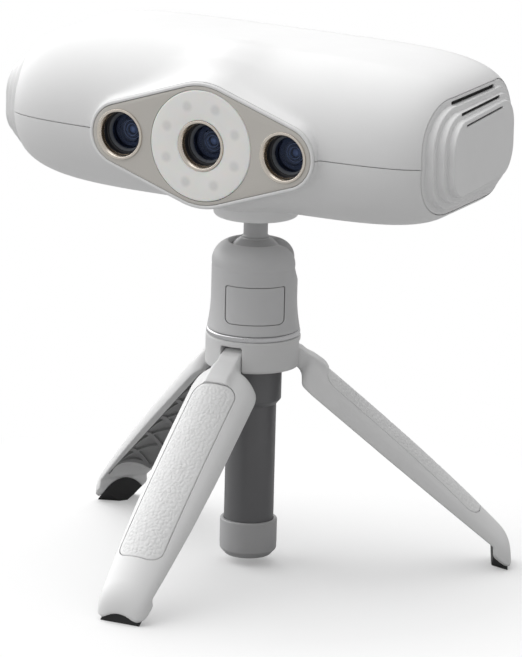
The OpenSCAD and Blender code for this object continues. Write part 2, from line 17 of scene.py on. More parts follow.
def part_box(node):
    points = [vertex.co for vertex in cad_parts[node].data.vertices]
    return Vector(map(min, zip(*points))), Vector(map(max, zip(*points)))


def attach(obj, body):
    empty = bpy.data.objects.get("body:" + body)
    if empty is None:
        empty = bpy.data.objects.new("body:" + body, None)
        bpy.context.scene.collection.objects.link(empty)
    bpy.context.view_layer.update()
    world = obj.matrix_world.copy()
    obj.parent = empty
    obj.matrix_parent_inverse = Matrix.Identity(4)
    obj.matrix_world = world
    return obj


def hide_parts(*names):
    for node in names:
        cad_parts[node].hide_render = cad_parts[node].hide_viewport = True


MM = 0.001
FAR = 200
FIT_GAP = 0.03

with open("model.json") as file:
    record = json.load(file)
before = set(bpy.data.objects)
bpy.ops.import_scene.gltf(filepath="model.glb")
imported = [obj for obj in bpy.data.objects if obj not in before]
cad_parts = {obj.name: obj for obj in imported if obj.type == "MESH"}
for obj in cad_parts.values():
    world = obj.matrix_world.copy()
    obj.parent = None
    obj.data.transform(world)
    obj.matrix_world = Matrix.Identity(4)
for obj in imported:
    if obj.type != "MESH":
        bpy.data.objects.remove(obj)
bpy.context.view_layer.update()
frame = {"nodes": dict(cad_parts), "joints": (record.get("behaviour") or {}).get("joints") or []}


def box_mm(node):
    """Lowest and highest corner of a CAD node, in millimetres."""
    lo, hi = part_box(node)
    return np.array(lo) / MM, np.array(hi) / MM


def half_span(lo, hi, axis=0):
    return (hi[axis] - lo[axis]) / 2


# ---- Places taken from the frame ----
RIM_LO, RIM_HI = box_mm("centre_lens_rim")
SIDE_RIM_LO, SIDE_RIM_HI = box_mm("right_lens_rim")
PLATE_LO, PLATE_HI = box_mm("nose_plate")
TOP_HI = box_mm("top_shell")[1]
DIFFUSER_LO, DIFFUSER_HI = box_mm("ring_diffuser")
CAP_LO, CAP_HI = box_mm("right_end_cap")
SOCKET_LO, SOCKET_HI = box_mm("rear_socket")
INSERT_LO, INSERT_HI = box_mm("tripod_insert")
STEM_HI = box_mm("ball_stem")[1]
HEAD_LO, HEAD_HI = box_mm("ball_housing")
TRIM_LO, TRIM_HI = box_mm("trim_ring")
HUB_LO, HUB_HI = box_mm("leg_hub")
COLLAR_LO, COLLAR_HI = box_mm("column_collar")
TUBE_LO, TUBE_HI = box_mm("column_tube")
BASE_LO, BASE_HI = box_mm("column_cap")
JOINTS = {joint["name"]: joint for joint in frame["joints"]}
PIN_R = -JOINTS["front_leg_fold"]["pos_m"][1] / MM
PIN_Z = JOINTS["front_leg_fold"]["pos_m"][2] / MM
BALL_Z = JOINTS["ball_tilt"]["pos_m"][2] / MM

# ---- Scanner; "ahead" is a distance along -Y from the plane through the case's middle ----
NOSE_F = 41.0
LENS_Y = PLATE_LO[1] + NOSE_F
LENS_Z = (RIM_LO[2] + RIM_HI[2]) / 2
SPACING = (SIDE_RIM_LO[0] + SIDE_RIM_HI[0]) / 2
RIM_R = half_span(RIM_LO, RIM_HI)
PLATE_R = half_span(PLATE_LO, PLATE_HI, 2)
PLATE_TIP_R = PLATE_HI[0] - SPACING
RING_R = half_span(DIFFUSER_LO, DIFFUSER_HI)
# Lens stack: radii from the lens axis, and distances ahead
RIM_T = 1.25
RIM_BACK_F = 38.75
RIM_FRONT_F = NOSE_F + 0.28
BARREL_R = 7.9
BARREL_BACK_F = 26
BARREL_FRONT_F = 38.7
CELL_R = 6.27
CELL_BACK_F = 35.0
GLASS_R = 5.48
GLASS_BACK_F = 34.9
GLASS_RIM_F = 35.5
GLASS_BALL_R = 10.0
# Lighter rings inside the lens (inner radius, outer radius, depth ahead): painted highlights of its
# inner reflections
LENS_HIGHLIGHT_RINGS = [(1.75, 1.98, 33.05), (2.85, 3.0, 32.75)]
PUPIL_R = 1.25
PUPIL_BACK_F = 31.7
PUPIL_MIDDLE_F = 32.0
PUPIL_BULGE = 0.75

# Case: a tube of radius CASE_R, flattened by CASE_FLAT either way, with superellipse ends
CASE_R = 26.4
CASE_FLAT = 13.2
CASE_Y = TOP_HI[1] - CASE_R - CASE_FLAT
CASE_Z = TOP_HI[2] - CASE_R
FACE_X = CAP_HI[0] - 0.3
DOME_X = FACE_X - 1.7
DOME_POWER = 5
CASE_TAPER = 0.0004
FACE_TAPER = 0.0013
BELLY_FLATNESS = 1.045
WALL = 2.2
SEAM_GAP = 0.22
CASE_STEP = 0.9
CAVITY_STEP = 2.0
# Nose: a lip round the plate, and a flare that runs back into the case
LIP = 1.2
LIP_T = 0.9
LIP_BACK_F = 40.2
LED_COUNT = 8
LED_CIRCLE_R = 13.0
FLARE_LEN = 20.5
FLARE_GROW = 4.6
FLARE_TIP_GROW = 2.4
FLARE_UP = 1.2
FLARE_BLEND = 7.0
# Underside
BOSS_R = 13.5
BOSS_Z = INSERT_LO[2]
SCREW_X = 62.0
SCREW_YS = [-9.0, 13.0]
SCREW_RECESS_R = 3.0
SCREW_RECESS_Z = -16.0

# End caps: terraces that climb from the case's end to a panel, with three cooling slots
CAP_HALF_Y = half_span(CAP_LO, CAP_HI, 1)
CAP_HALF_Z = half_span(CAP_LO, CAP_HI, 2)
CAP_CORNER_R = 17.0
CAP_ROOT_X = 63.0
CAP_TERRACES = 3
CAP_STEP_Y = 2.4
CAP_STEP_Z = 2.1
CAP_CORNER_STEP = 2.6
CAP_GAP = 0.16
CAP_EDGE_R = 0.45
CAP_CUT_X = 90
SLOT_HEIGHTS = [1.3, 1.0, 0.7]
SLOT_TERRACES = [0, 2, 3]
SLOT_PITCH = 3.2
SLOT_DEPTH = 0.5
SLOT_LEN = 31.0
SLOT_Y = LENS_Y + 0.7
# Gap round the near-black sheets in the cooling slots, which are painted shade for the slots' dark
# inside
SLOT_SHADE_GAP = 0.02

# ---- Tripod; heights from the floor ----
HEAD_R = 13.65
FLARE_FOOT_W = 1.1
FLARE_FOOT_TOP = 88.0
DOME_R = 6.6
DOME_Z = HEAD_HI[2] - DOME_R
BALL_R = 9.4
NECK_R = 3.85
SKIRT_R = 4.6
THREAD_R = 3.175
SEAT_Z = 113.55
MOUTH_R = 7.3
MOUTH_Z = 103.2
MOUTH_LOW_Z = 101
MOUTH_SLOPE = 0.58
NOTCH_AZ = 30.0
NOTCH_W = 9.0
BUTTON_AZ = -60.0
BUTTON_W = 18.3
BUTTON_LOW_Z = 80.9
BUTTON_TOP_Z = 92.7
BUTTON_GAP = 0.22
BUTTON_BACK_R = 12.1
SPIGOT_R = 11.5
HEAD_STEP = 0.36
# Cutters of the head: the button's pocket and plunger outwards, the rest upwards
BUTTON_CUT = (4, 20)
HEAD_CUT = (60, 120)
BUTTON_POCKET_R = 10.9
PLUNGER_R = 1.8
PLUNGER_CUT = (10.3, 12.6)
SPIGOT_TOP_Z = 81.7
HUB_WELL_R = 8.5
BOLT_R = 2.02
SLOT_BACK = 7.4

# Legs, measured folded: tops and lows are depths below the pin, half widths go by height
LEGS = {"front": 270.0, "right": 30.0, "left": 150.0}
OPEN_DEG = 50.0
LEG_R = 15.2
LEG_TAPER = 2.8
LEG_IN_R = 10.2
LEG_HALF_WIDTHS = {-106: 7.9, -97: 8.8, -84: 9.8, -65: 11.0, -45: 11.6}
LEG_EDGE_X = 7.1
LEG_SIDE_GAP = 0.4
LEG_TOP = 6.5
LEG_END = 106.0
SHOULDER_R = 8.0
SHOULDER_X = 15.5
FOOT_REACH = 84.0
TOE_REACH = 78.0
TOE_TOP = 88.0
TOE_ARCH_X = -3.0
TOE_ARCH_R = 10.1
SHELL_GAP = 0.6
POCKET_R = 11.8
POCKET_HALF_DEG = 48.0
POCKET_TOP = 12.0
POCKET_LOW = 86.0
TONGUE_W = 7.0
TONGUE_R = 3.0
TONGUE_LOW = -11
RECESS_LIFT = 4.0
RECESS_INSETS = [0, 1.5, 3, 4.5, 6, 7.2]
PIN_BORE_R = 1.3
LEG_STEP = 0.45
INLAY_STEP = 0.28
INLAY_HALF_W = 7.5
INLAY_TOP = 13.5
INLAY_LOW = 80.0
INLAY_CORNER_R = 4.0
INLAY_T = 0.75
INLAY_GAP = 0.22
SLOT_ROOF_Z = 73.4


# ---- Mesh helpers ----
def unit(v):
    return v / np.linalg.norm(v)


def rounded(corners, steps=6):
    """Closed outline through corners (u, v, radius), each rounded by an arc of its radius."""
    points = []
    for i, (u, v, radius) in enumerate(corners):
        corner = np.array((u, v), float)
        if radius == 0:
            points.append(corner)
            continue
        before = unit(np.array(corners[i - 1][:2], float) - corner)
        after = unit(np.array(corners[(i + 1) % len(corners)][:2], float) - corner)
        half = 0.5 * math.acos(max(-1.0, min(1.0, before @ after)))
        centre = corner + unit(before + after) * radius / math.sin(half)
        start = corner + before * radius / math.tan(half) - centre
        end = corner + after * radius / math.tan(half) - centre
        turn = math.atan2(start[0] * end[1] - start[1] * end[0], start @ end)
        for k in range(steps + 1):
            a = turn * k / steps
            spun = (start[0] * math.cos(a) - start[1] * math.sin(a),
                    start[0] * math.sin(a) + start[1] * math.cos(a))
            points.append(centre + spun)
    return np.array(points)


def oval(cx, half_w, half_h, radius, arc=20, side=6):
    """Rounded rectangle about (cx, 0); equal arc and side counts give matching points."""
    points = []
    corners = [(1, 1, 0), (-1, 1, 90), (-1, -1, 180), (1, -1, 270)]
    for sx, sy, start in corners:
        centre = np.array((cx + sx * (half_w - radius), sy * (half_h - radius)))
        for k in range(arc + 1):
            a = math.radians(start + 90 * k / arc)
            points.append(centre + radius * np.array((math.cos(a), math.sin(a))))
        nxt = corners[(corners.index((sx, sy, start)) + 1) % 4]
        a = math.radians(start + 90)
        away = np.array((cx + nxt[0] * (half_w - radius), nxt[1] * (half_h - radius)))
        away = away + radius * np.array((math.cos(a), math.sin(a)))
        for k in range(1, side):
            points.append(points[-1] + (away - points[-1]) / (side - k + 1))
    return np.array(points)


def diamond(middle_r, tip_r, arc=40):
    """Outline round a middle circle and two tip circles, with its outward directions."""
    lean = math.acos((middle_r - tip_r) / SPACING)
    sections = [(SPACING, tip_r, -lean, lean), (0, middle_r, lean, math.pi - lean),
                (-SPACING, tip_r, math.pi - lean, math.pi + lean),
                (0, middle_r, math.pi + lean, 2 * math.pi - lean)]
    points = []
    directions = []
    for centre, radius, start, end in sections:
        for a in np.linspace(start, end, arc + 1):
            directions.append((math.cos(a), math.sin(a)))
            points.append((centre + radius * math.cos(a), radius * math.sin(a)))
    return np.array(points), np.array(directions)


def grid_faces(rows, columns, wrap_rows):
    """Quads between rows of closed rings."""
    index = np.arange(rows * columns).reshape(rows, columns)
    nxt = np.roll(index, -1, axis=1)
    last = rows if wrap_rows else rows - 1
    up = np.roll(index, -1, axis=0)
    up_nxt = np.roll(nxt, -1, axis=0)
    quads = np.stack([index[:last], nxt[:last], up_nxt[:last], up[:last]], -1)
    return quads.reshape(-1, 4).tolist()


def loft(rings, wrap=False):
    """Closed mesh through rings of matching points; the ends are filled unless it wraps."""
    rings = np.array(rings)
    rows, columns = rings.shape[:2]
    faces = grid_faces(rows, columns, wrap)
    if not wrap:
        faces.append(list(range(columns))[::-1])
        faces.append(list(range((rows - 1) * columns, rows * columns)))
    return rings.reshape(-1, 3), faces


def revolve(outline, place, segments=128):
    """Turns a closed (radius, height) outline about an axis; place maps x, y, height to the row."""
    rings = []
    for a in np.linspace(0, 2 * math.pi, segments, endpoint=False):
        rings.append(place(outline[:, 0] * math.cos(a), outline[:, 0] * math.sin(a), outline[:, 1]))
    return loft(rings, wrap=True)


def upright(x, y, h):
    """About the tripod's axis."""
    return np.stack([x, y, h + 0 * x], -1)


def ahead(cx=0.0):
    """About the axis of the lens at cx, with height measured ahead of the case's middle."""
    return lambda x, y, h: np.stack([cx + x, LENS_Y - h + 0 * x, LENS_Z + y], -1)


def surface_net(field, lo, hi, step):
    """Quads round the zero surface of a field, with every corner pulled onto it."""
    axes = [np.arange(a - 2 * step, b + 3 * step, step) for a, b in zip(lo, hi)]
    value = field(np.stack(np.meshgrid(*axes, indexing="ij"), -1))
    inside = value < 0
    cells = tuple(n - 1 for n in value.shape)
    corners = [(i, j, k) for i in (0, 1) for j in (0, 1) for k in (0, 1)]

    def corner(array, offset):
        return array[tuple(slice(o, o + n) for o, n in zip(offset, cells))]

    count = sum(corner(inside, c).astype(np.int8) for c in corners)
    mixed = (count > 0) & (count < 8)
    number = np.full(cells, -1)
    number[mixed] = np.arange(mixed.sum())
    at = np.argwhere(mixed)
    held = {c: corner(value, c)[mixed] for c in corners}
    total = np.zeros(at.shape)
    hits = np.zeros(len(at))
    for axis in range(3):
        for c in corners:
            if c[axis]:
                continue
            far = tuple(1 if i == axis else o for i, o in enumerate(c))
            crossed = (held[c] < 0) != (held[far] < 0)
            share = np.where(crossed, held[c] / np.where(crossed, held[c] - held[far], 1), 0)
            spot = np.array(c, float)[None].repeat(len(at), 0)
            spot[:, axis] = share
            total += spot * crossed[:, None]
            hits += crossed
    points = np.array([a[0] for a in axes]) + (at + total / hits[:, None]) * step
    points = settle(field, points, step)

    faces = []
    for axis in range(3):
        u, v = (axis + 1) % 3, (axis + 2) % 3
        window = [slice(1, -1)] * 3
        window[axis] = slice(0, -1)
        ahead_window = list(window)
        ahead_window[axis] = slice(1, None)
        a, b = inside[tuple(window)], inside[tuple(ahead_window)]
        start = np.array([1, 1, 1])
        start[axis] = 0
        for wanted, outward in ((a & ~b, True), (b & ~a, False)):
            base = np.argwhere(wanted) + start
            ring = []
            for du, dv in ((-1, -1), (0, -1), (0, 0), (-1, 0)):
                cell = base.copy()
                cell[:, u] += du
                cell[:, v] += dv
                ring.append(number[cell[:, 0], cell[:, 1], cell[:, 2]])
            quads = np.stack(ring if outward else ring[::-1], -1)
            faces.append(quads)
    return points, np.concatenate(faces).tolist()


def settle(field, points, step, rounds=4):
    """Moves points along the field's slope onto its zero surface."""
    nudge = 0.02
    for _ in range(rounds):
        value = field(points)
        slope = np.stack([field(points + nudge * e) - field(points - nudge * e)
                          for e in np.eye(3)], -1)
        slope /= 2 * nudge
        move = -slope * (value / np.maximum((slope**2).sum(-1), 1e-6))[:, None]
        length = np.linalg.norm(move, axis=-1, keepdims=True)
        points = points + move * np.minimum(1, 0.5 * step / np.maximum(length, 1e-9))
    return points


def blend_min(a, b, k):
    """Union of two fields with a rounded inside corner."""
    h = np.clip(0.5 + 0.5 * (b - a) / np.maximum(k, 1e-6), 0, 1)
    return b + (a - b) * h - k * h * (1 - h)


def blend_max(a, b, k):
    """Overlap of two fields with a rounded outside edge."""
    return -blend_min(-a, -b, k)


def make_object(name, points, faces):
    """Object from points in millimetres, with its normals facing out."""
    mesh = bpy.data.meshes.new(name)
    mesh.from_pydata((np.array(points) * MM).tolist(), [], faces)
    bm = bmesh.new()
    bm.from_mesh(mesh)
    bmesh.ops.remove_doubles(bm, verts=bm.verts, dist=1e-7)
    loose = [edge for edge in bm.edges if edge.is_wire]
    bmesh.ops.delete(bm, geom=loose, context="EDGES")
    bmesh.ops.recalc_face_normals(bm, faces=bm.faces)
    bm.to_mesh(mesh)
    bm.free()
    obj = bpy.data.objects.new(name, mesh)
    bpy.context.scene.collection.objects.link(obj)
    return obj


def box_object(lo, hi):
    """Cutter: a box between two corners."""
    (x0, y0, z0), (x1, y1, z1) = lo, hi
    rings = [[(x0, y0, z), (x1, y0, z), (x1, y1, z), (x0, y1, z)] for z in (z0, z1)]
    return make_object("cutter", *loft(rings))


def prism(outline, place, start, end):
    """Cutter: a flat outline pushed from start to end; place maps u, v, depth into the row."""
    rings = [place(outline[:, 0], outline[:, 1], depth) for depth in (start, end)]
    return make_object("cutter", *loft(rings))


def duplicate(obj):
    twin = bpy.data.objects.new(obj.name, obj.data.copy())
    bpy.context.scene.collection.objects.link(twin)
    return twin


def carve(obj, *steps):
    """Applies (operation, cutter) steps to a mesh, and removes the cutters."""
    for operation, cutter in steps:
        cut = obj.modifiers.new("cut", "BOOLEAN")
        cut.operation = operation
        cut.object = cutter
        cut.solver = "MANIFOLD"
    evaluated = obj.evaluated_get(bpy.context.evaluated_depsgraph_get())
    result = bpy.data.meshes.new_from_object(evaluated)
    obj.modifiers.clear()
    obj.data = result
    for _, cutter in steps:
        bpy.data.objects.remove(cutter)
    return obj


def dress(obj, name, body, material, replaces=(), sharp_deg=32):
    """Names a finished piece, gives it its material, and hangs it on its body."""
    obj.name = name
    obj.data.name = name
    obj.data.materials.clear()
    obj.data.materials.append(material)
    obj.data.shade_smooth()
    obj.data.set_sharp_from_angle(angle=math.radians(sharp_deg))
    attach(obj, body)
    if replaces:
        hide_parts(*replaces)
    return obj


def turned(name, outline, place, body, material, replaces=(), segments=128):
    """Finished piece turned from a closed outline."""
    piece = make_object(name, *revolve(outline, place, segments))
    return dress(piece, name, body, material, replaces)


# ---- Materials ----
def add(tree, kind, settings=None, **inputs):
    """Adds a shader node; inputs are values or sockets, _ is a space and iN is input number N."""
    made = tree.nodes.new("ShaderNode" + kind)
    for key, value in (settings or {}).items():
        setattr(made, key, value)
    for key, value in inputs.items():
        numbered = key[0] == "i" and key[1:].isdigit()
        socket = made.inputs[int(key[1:])] if numbered else made.inputs[key.replace("_", " ")]
        if isinstance(value, bpy.types.NodeSocket):
            tree.links.new(value, socket)
        else:
            socket.default_value = value
    return made


def mixed(tree, factor, a, b):
    """Colour between a and b."""
    return add(tree, "Mix", {"data_type": "RGBA"}, i0=factor, i6=a, i7=b).outputs[2]


def stretched(tree, value, low, high, to_low, to_high):
    """Value moved from one range to another, and held at its ends."""
    made = add(tree, "MapRange", None, Value=value, From_Min=low, From_Max=high, To_Min=to_low,
               To_Max=to_high)
    return made.outputs[0]


def calc(tree, operation, a, b):
    """Arithmetic between two numbers."""
    return add(tree, "Math", {"operation": operation}, i0=a, i1=b).outputs[0]


def vector(tree, operation, a, output="Value", **inputs):
    """Arithmetic on a vector."""
    return add(tree, "VectorMath", {"operation": operation}, i0=a, **inputs).outputs[output]


def rgba(colour, gain=1.0):
    return tuple(min(1.0, c * gain) for c in colour) + (1.0,)


def new_material(name):
    material = bpy.data.materials.new(name)
    material.use_nodes = True
    tree = material.node_tree
    tree.nodes.clear()
    output = add(tree, "OutputMaterial")
    shader = add(tree, "BsdfPrincipled")
    tree.links.new(shader.outputs[0], output.inputs[0])
    return material, tree, shader


def finished(tree, shader, tint, bump, rough=None, **values):
    """Links colour, bump and roughness into a shader, and sets its other inputs."""
    tree.links.new(tint, shader.inputs["Base Color"])
    if rough is not None:
        tree.links.new(rough, shader.inputs["Roughness"])
    tree.links.new(bump.outputs[0], shader.inputs["Normal"])
    for key, value in values.items():
        shader.inputs[key.replace("_", " ")].default_value = value


def noise(tree, place, size_mm, detail=2.0):
    made = add(tree, "TexNoise", None, Vector=place, Scale=1 / (size_mm * MM), Detail=detail)
    return made.outputs[0]


def surface(name, colour, roughness=0.42, metallic=0.0, mottle=0.03, grain_mm=0.3,
            grain_depth_mm=0.012, edge_mm=0.2, edge_gain=1.0, coat=0.0, rough_spread=0.05):
    """Moulded, painted or machined surface: slow colour drift, a fine grain and eased edges."""
    material, tree, shader = new_material(name)
    place = add(tree, "TexCoord").outputs["Object"]
    slow = noise(tree, place, 22, 3)
    fine = noise(tree, place, grain_mm, 3)
    smudge = noise(tree, place, 6, 4)
    eased = add(tree, "Bevel", {"samples": 4}, Radius=edge_mm * MM).outputs[0]
    drift = stretched(tree, slow, 0.35, 0.65, 0, 1)
    tint = mixed(tree, drift, rgba(colour, 1 - mottle), rgba(colour, 1 + mottle / 2))
    if edge_gain != 1.0:
        flat_normal = add(tree, "NewGeometry").outputs["Normal"]
        agree = vector(tree, "DOT_PRODUCT", eased, i1=flat_normal)
        worn = stretched(tree, agree, 0.9, 0.998, 1, 0)
        tint = mixed(tree, worn, tint, rgba(colour, edge_gain))
    rough = stretched(tree, smudge, 0.3, 0.7, roughness - rough_spread, roughness + rough_spread)
    bump = add(tree, "Bump", None, Height=fine, Strength=0.6, Distance=grain_depth_mm * MM,
               Normal=eased)
    finished(tree, shader, tint, bump, rough, Metallic=metallic, Coat_Weight=coat)
    return material


def turned_metal(name, colour, roughness, line_mm=0.12, depth_mm=0.004):
    """Turned or brushed metal with fine lines across its height."""
    material, tree, shader = new_material(name)
    place = add(tree, "TexCoord").outputs["Object"]
    flattened = add(tree, "Mapping", None, Vector=place, Scale=(0.05, 1.0, 1.0)).outputs[0]
    lines = noise(tree, flattened, line_mm, 2)
    smudge = noise(tree, place, 4, 3)
    bump = add(tree, "Bump", None, Height=lines, Strength=0.5, Distance=depth_mm * MM)
    rough = stretched(tree, smudge, 0.3, 0.7, roughness * 0.8, roughness * 1.25)
    tint = mixed(tree, smudge, rgba(colour, 0.94), rgba(colour, 1.04))
    finished(tree, shader, tint, bump, rough, Metallic=1.0)
    return material


def opal_material():
    """Milky diffuser with the faint shadows of eight LEDs behind it."""
    material, tree, shader = new_material("opal")
    place = add(tree, "TexCoord").outputs["Object"]
    centred = vector(tree, "SUBTRACT", place, 0, i1=(0, 0, LENS_Z * MM))
    parts = add(tree, "SeparateXYZ", None, i0=centred)
    angle = calc(tree, "ARCTAN2", parts.outputs[2], parts.outputs[0])
    sector = math.tau / LED_COUNT
    wrapped = add(tree, "Math", {"operation": "WRAP"}, i0=angle, i1=sector, i2=0.0).outputs[0]
    local = calc(tree, "SUBTRACT", wrapped, sector / 2)
    flat = add(tree, "CombineXYZ", None, X=parts.outputs[0], Y=0.0, Z=parts.outputs[2]).outputs[0]
    radius = vector(tree, "LENGTH", flat)
    across = calc(tree, "MULTIPLY", radius, local)
    along = calc(tree, "SUBTRACT", radius, LED_CIRCLE_R * MM)
    offset = add(tree, "CombineXYZ", None, X=across, Y=along, Z=0.0).outputs[0]
    distance = vector(tree, "LENGTH", offset)
    shadow = stretched(tree, distance, 0.9 * MM, 2.1 * MM, 1, 0)
    cloud = noise(tree, place, 9, 2)
    milky = mixed(tree, cloud, (0.92, 0.905, 0.87, 1), (0.96, 0.95, 0.925, 1))
    tint = mixed(tree, stretched(tree, shadow, 0, 1, 0, 0.8), milky, (0.76, 0.755, 0.74, 1))
    fine = noise(tree, place, 0.25, 2)
    eased = add(tree, "Bevel", {"samples": 4}, Radius=0.2 * MM).outputs[0]
    bump = add(tree, "Bump", None, Height=fine, Strength=0.4, Distance=0.004 * MM, Normal=eased)
    finished(tree, shader, tint, bump, Roughness=0.38, Subsurface_Weight=0.25,
             Subsurface_Scale=1.5 * MM)
    return material


def glass_material():
    """Coated front lens: see-through, with a blue-violet reflection that grows towards its edge."""
    material, tree, shader = new_material("coated_glass")
    tree.nodes.remove(shader)
    place = add(tree, "TexCoord").outputs["Object"]
    dust = noise(tree, place, 1.2, 4)
    rough = stretched(tree, dust, 0.35, 0.75, 0.02, 0.07)
    clear = add(tree, "BsdfTransparent", None, Color=(0.78, 0.83, 0.95, 1)).outputs[0]
    shine = add(tree, "BsdfGlossy", None, Color=(0.34, 0.40, 0.54, 1), Roughness=rough).outputs[0]
    facing = add(tree, "LayerWeight", None, Blend=0.28).outputs["Fresnel"]
    share = stretched(tree, facing, 0.0, 1.0, 0.04, 0.4)
    both = add(tree, "MixShader", None, i0=share, i1=clear, i2=shine).outputs[0]
    output = [n for n in tree.nodes if n.type == "OUTPUT_MATERIAL"][0]
    tree.links.new(both, output.inputs[0])
    return material


def board_material():
    """Green solder mask with faint copper tracks under it."""
    material, tree, shader = new_material("solder_mask")
    place = add(tree, "TexCoord").outputs["Object"]
    tracks = add(tree, "TexBrick", None, Vector=place, Color1=(0.02, 0.16, 0.07, 1),
                 Color2=(0.02, 0.19, 0.085, 1), Mortar=(0.04, 0.27, 0.12, 1), Scale=220.0,
                 Mortar_Size=0.035).outputs[0]
    fine = noise(tree, place, 0.4, 2)
    bump = add(tree, "Bump", None, Height=tracks, Strength=0.3, Distance=0.02 * MM)
    tint = mixed(tree, stretched(tree, fine, 0.3, 0.7, 0, 0.2), tracks, (0.03, 0.22, 0.1, 1))
    finished(tree, shader, tint, bump, Roughness=0.3, Coat_Weight=0.4)
    return material


SHELL = surface("white_shell", (0.80, 0.80, 0.80), 0.40, mottle=0.012, grain_mm=0.22, edge_mm=0.25)
NOSE_PAINT = surface("warm_grey_paint", (0.60, 0.575, 0.535), 0.38, metallic=0.1, mottle=0.02,
                     grain_mm=0.12, grain_depth_mm=0.006, edge_mm=0.12)
OPAL = opal_material()
CHROME = turned_metal("champagne_chrome", (0.90, 0.83, 0.74), 0.2)
TRIM_CHROME = turned_metal("trim_chrome", (0.66, 0.66, 0.67), 0.22)
BLACK = surface("black_plastic", (0.018, 0.018, 0.02), 0.5, mottle=0.1, grain_mm=0.15, edge_mm=0.1)
CELL = surface("lens_cell", (0.16, 0.17, 0.19), 0.3, mottle=0.05, grain_mm=0.1, edge_mm=0.08)
GLASS = glass_material()
IRIS = surface("iris_black", (0.014, 0.016, 0.024), 0.3, mottle=0.05, grain_mm=0.1, edge_mm=0.04,
               coat=0.6)
# Lighter blue-grey rings: painted highlights standing in for the reflections inside the lens
LENS_RING_HIGHLIGHT = surface("lens_ring_highlight", (0.30, 0.34, 0.40), 0.3, mottle=0.05, grain_mm=0.1, edge_mm=0.03)
# Pupil: coated glass whose light blue-grey colour is a painted reflection of the bright spot at the
# lens's centre
PUPIL_GLASS_GLINT = surface("pupil_glass_painted_glint", (0.30, 0.36, 0.46), 0.12, mottle=0.05, grain_mm=0.2,
                grain_depth_mm=0.0005, edge_mm=0.02, coat=1.0)
BOARD = board_material()
LED = surface("led_package", (0.90, 0.80, 0.50), 0.35, grain_mm=0.3, edge_mm=0.1)
ALUMINIUM = turned_metal("aluminium", (0.77, 0.78, 0.80), 0.35)
STEEL = turned_metal("steel", (0.52, 0.52, 0.53), 0.32)
BRASS = turned_metal("brass", (0.78, 0.60, 0.30), 0.28)
STEM = surface("stem_grey", (0.46, 0.46, 0.465), 0.38, metallic=0.3, mottle=0.03, grain_mm=0.15,
               edge_mm=0.1)
GRIP = surface("grip_grey", (0.58, 0.58, 0.585), 0.42, mottle=0.02, grain_mm=0.25, edge_mm=0.2)
HUB_PLASTIC = surface("hub_grey", (0.66, 0.66, 0.66), 0.42, mottle=0.02, grain_mm=0.25, edge_mm=0.2)
LEG = surface("leg_white", (0.78, 0.78, 0.78), 0.42, mottle=0.015, grain_mm=0.25, edge_mm=0.25)
LEATHER = surface("leather_grain", (0.78, 0.78, 0.78), 0.5, mottle=0.02, grain_mm=0.5,
                  grain_depth_mm=0.05, edge_mm=0.1)
DARK = surface("dark_plastic", (0.075, 0.075, 0.077), 0.5, mottle=0.08, grain_mm=0.3, edge_mm=0.2,
               edge_gain=1.3)
LINER = surface("liner_grey", (0.30, 0.30, 0.302), 0.5, mottle=0.05, grain_mm=0.3, edge_mm=0.2,
                edge_gain=1.3)
COLUMN = surface("column_grey", (0.155, 0.155, 0.16), 0.36, mottle=0.05, grain_mm=0.3, edge_mm=0.2)
BASE = surface("base_grey", (0.45, 0.45, 0.455), 0.42, mottle=0.03, grain_mm=0.25, edge_mm=0.25)
RUBBER = surface("rubber", (0.035, 0.035, 0.036), 0.75, mottle=0.12, grain_mm=0.6,
                 grain_depth_mm=0.03, edge_mm=0.3, edge_gain=1.6)
# Near-black sheets sunk in the cooling slots: painted shade for the dark inside of the slots
SLOT_SHADE = surface("vent_gauze", (0.006, 0.006, 0.006), 0.85, mottle=0.1, grain_mm=0.4,
                grain_depth_mm=0.05, edge_mm=0.05)


# ---- Scanner case ----
def plan_share(y, taper=CASE_TAPER):
    """Share of its half width that the case has at y, as it narrows towards the back."""
    return 1 - taper * (y - CASE_Y)


def section_radius(y, z):
    """Distance from the core of the case's cross-section, whose belly is flattened."""
    rise = z - CASE_Z
    rise = np.where(rise < 0, rise * BELLY_FLATNESS, rise)
    return np.hypot(np.maximum(np.abs(y - CASE_Y) - CASE_FLAT, 0), rise)


def case_field(p, inset=0.0):
    """A flattened tube, narrower at the back, whose ends close in a superellipse."""
    along = np.abs(p[..., 0]) / ((DOME_X - inset) * plan_share(p[..., 1]))
    across = section_radius(p[..., 1], p[..., 2]) / (CASE_R - inset)
    level = (along**DOME_POWER + across**DOME_POWER) ** (1 / DOME_POWER)
    return (level - 1) * (CASE_R - inset)


def dome_x(y, z):
    """Where the case's end surface stands at y, z."""
    across = np.minimum(section_radius(y, z) / CASE_R, 0.999)
    return DOME_X * plan_share(y) * (1 - across**DOME_POWER) ** (1 / DOME_POWER)


def nose_field(p):
    """The nose: the front plate's outline, growing and rising as it runs back into the case."""
    f = LENS_Y - p[..., 1]
    run = (NOSE_F - f) / FLARE_LEN
    t = np.clip(run, 0, 1.1)
    fade = 10 * np.maximum(run - 0.9, 0)**2
    middle_r = PLATE_R + LIP + FLARE_GROW * t - fade
    tip_r = PLATE_TIP_R + LIP + FLARE_TIP_GROW * t - fade
    x = np.abs(p[..., 0])
    z = np.abs(p[..., 2] - LENS_Z - FLARE_UP * t)
    lean = np.clip((middle_r - tip_r) / SPACING, -0.9, 0.9)
    side = np.sqrt(1 - lean**2)
    reach = x * side - z * lean
    flat = z * side + x * lean - middle_r
    outline = np.where(reach < 0, np.hypot(x, z) - middle_r,
                       np.where(reach > side * SPACING, np.hypot(x - SPACING, z) - tip_r, flat))
    return np.maximum(outline * 0.96, f - NOSE_F - 3)


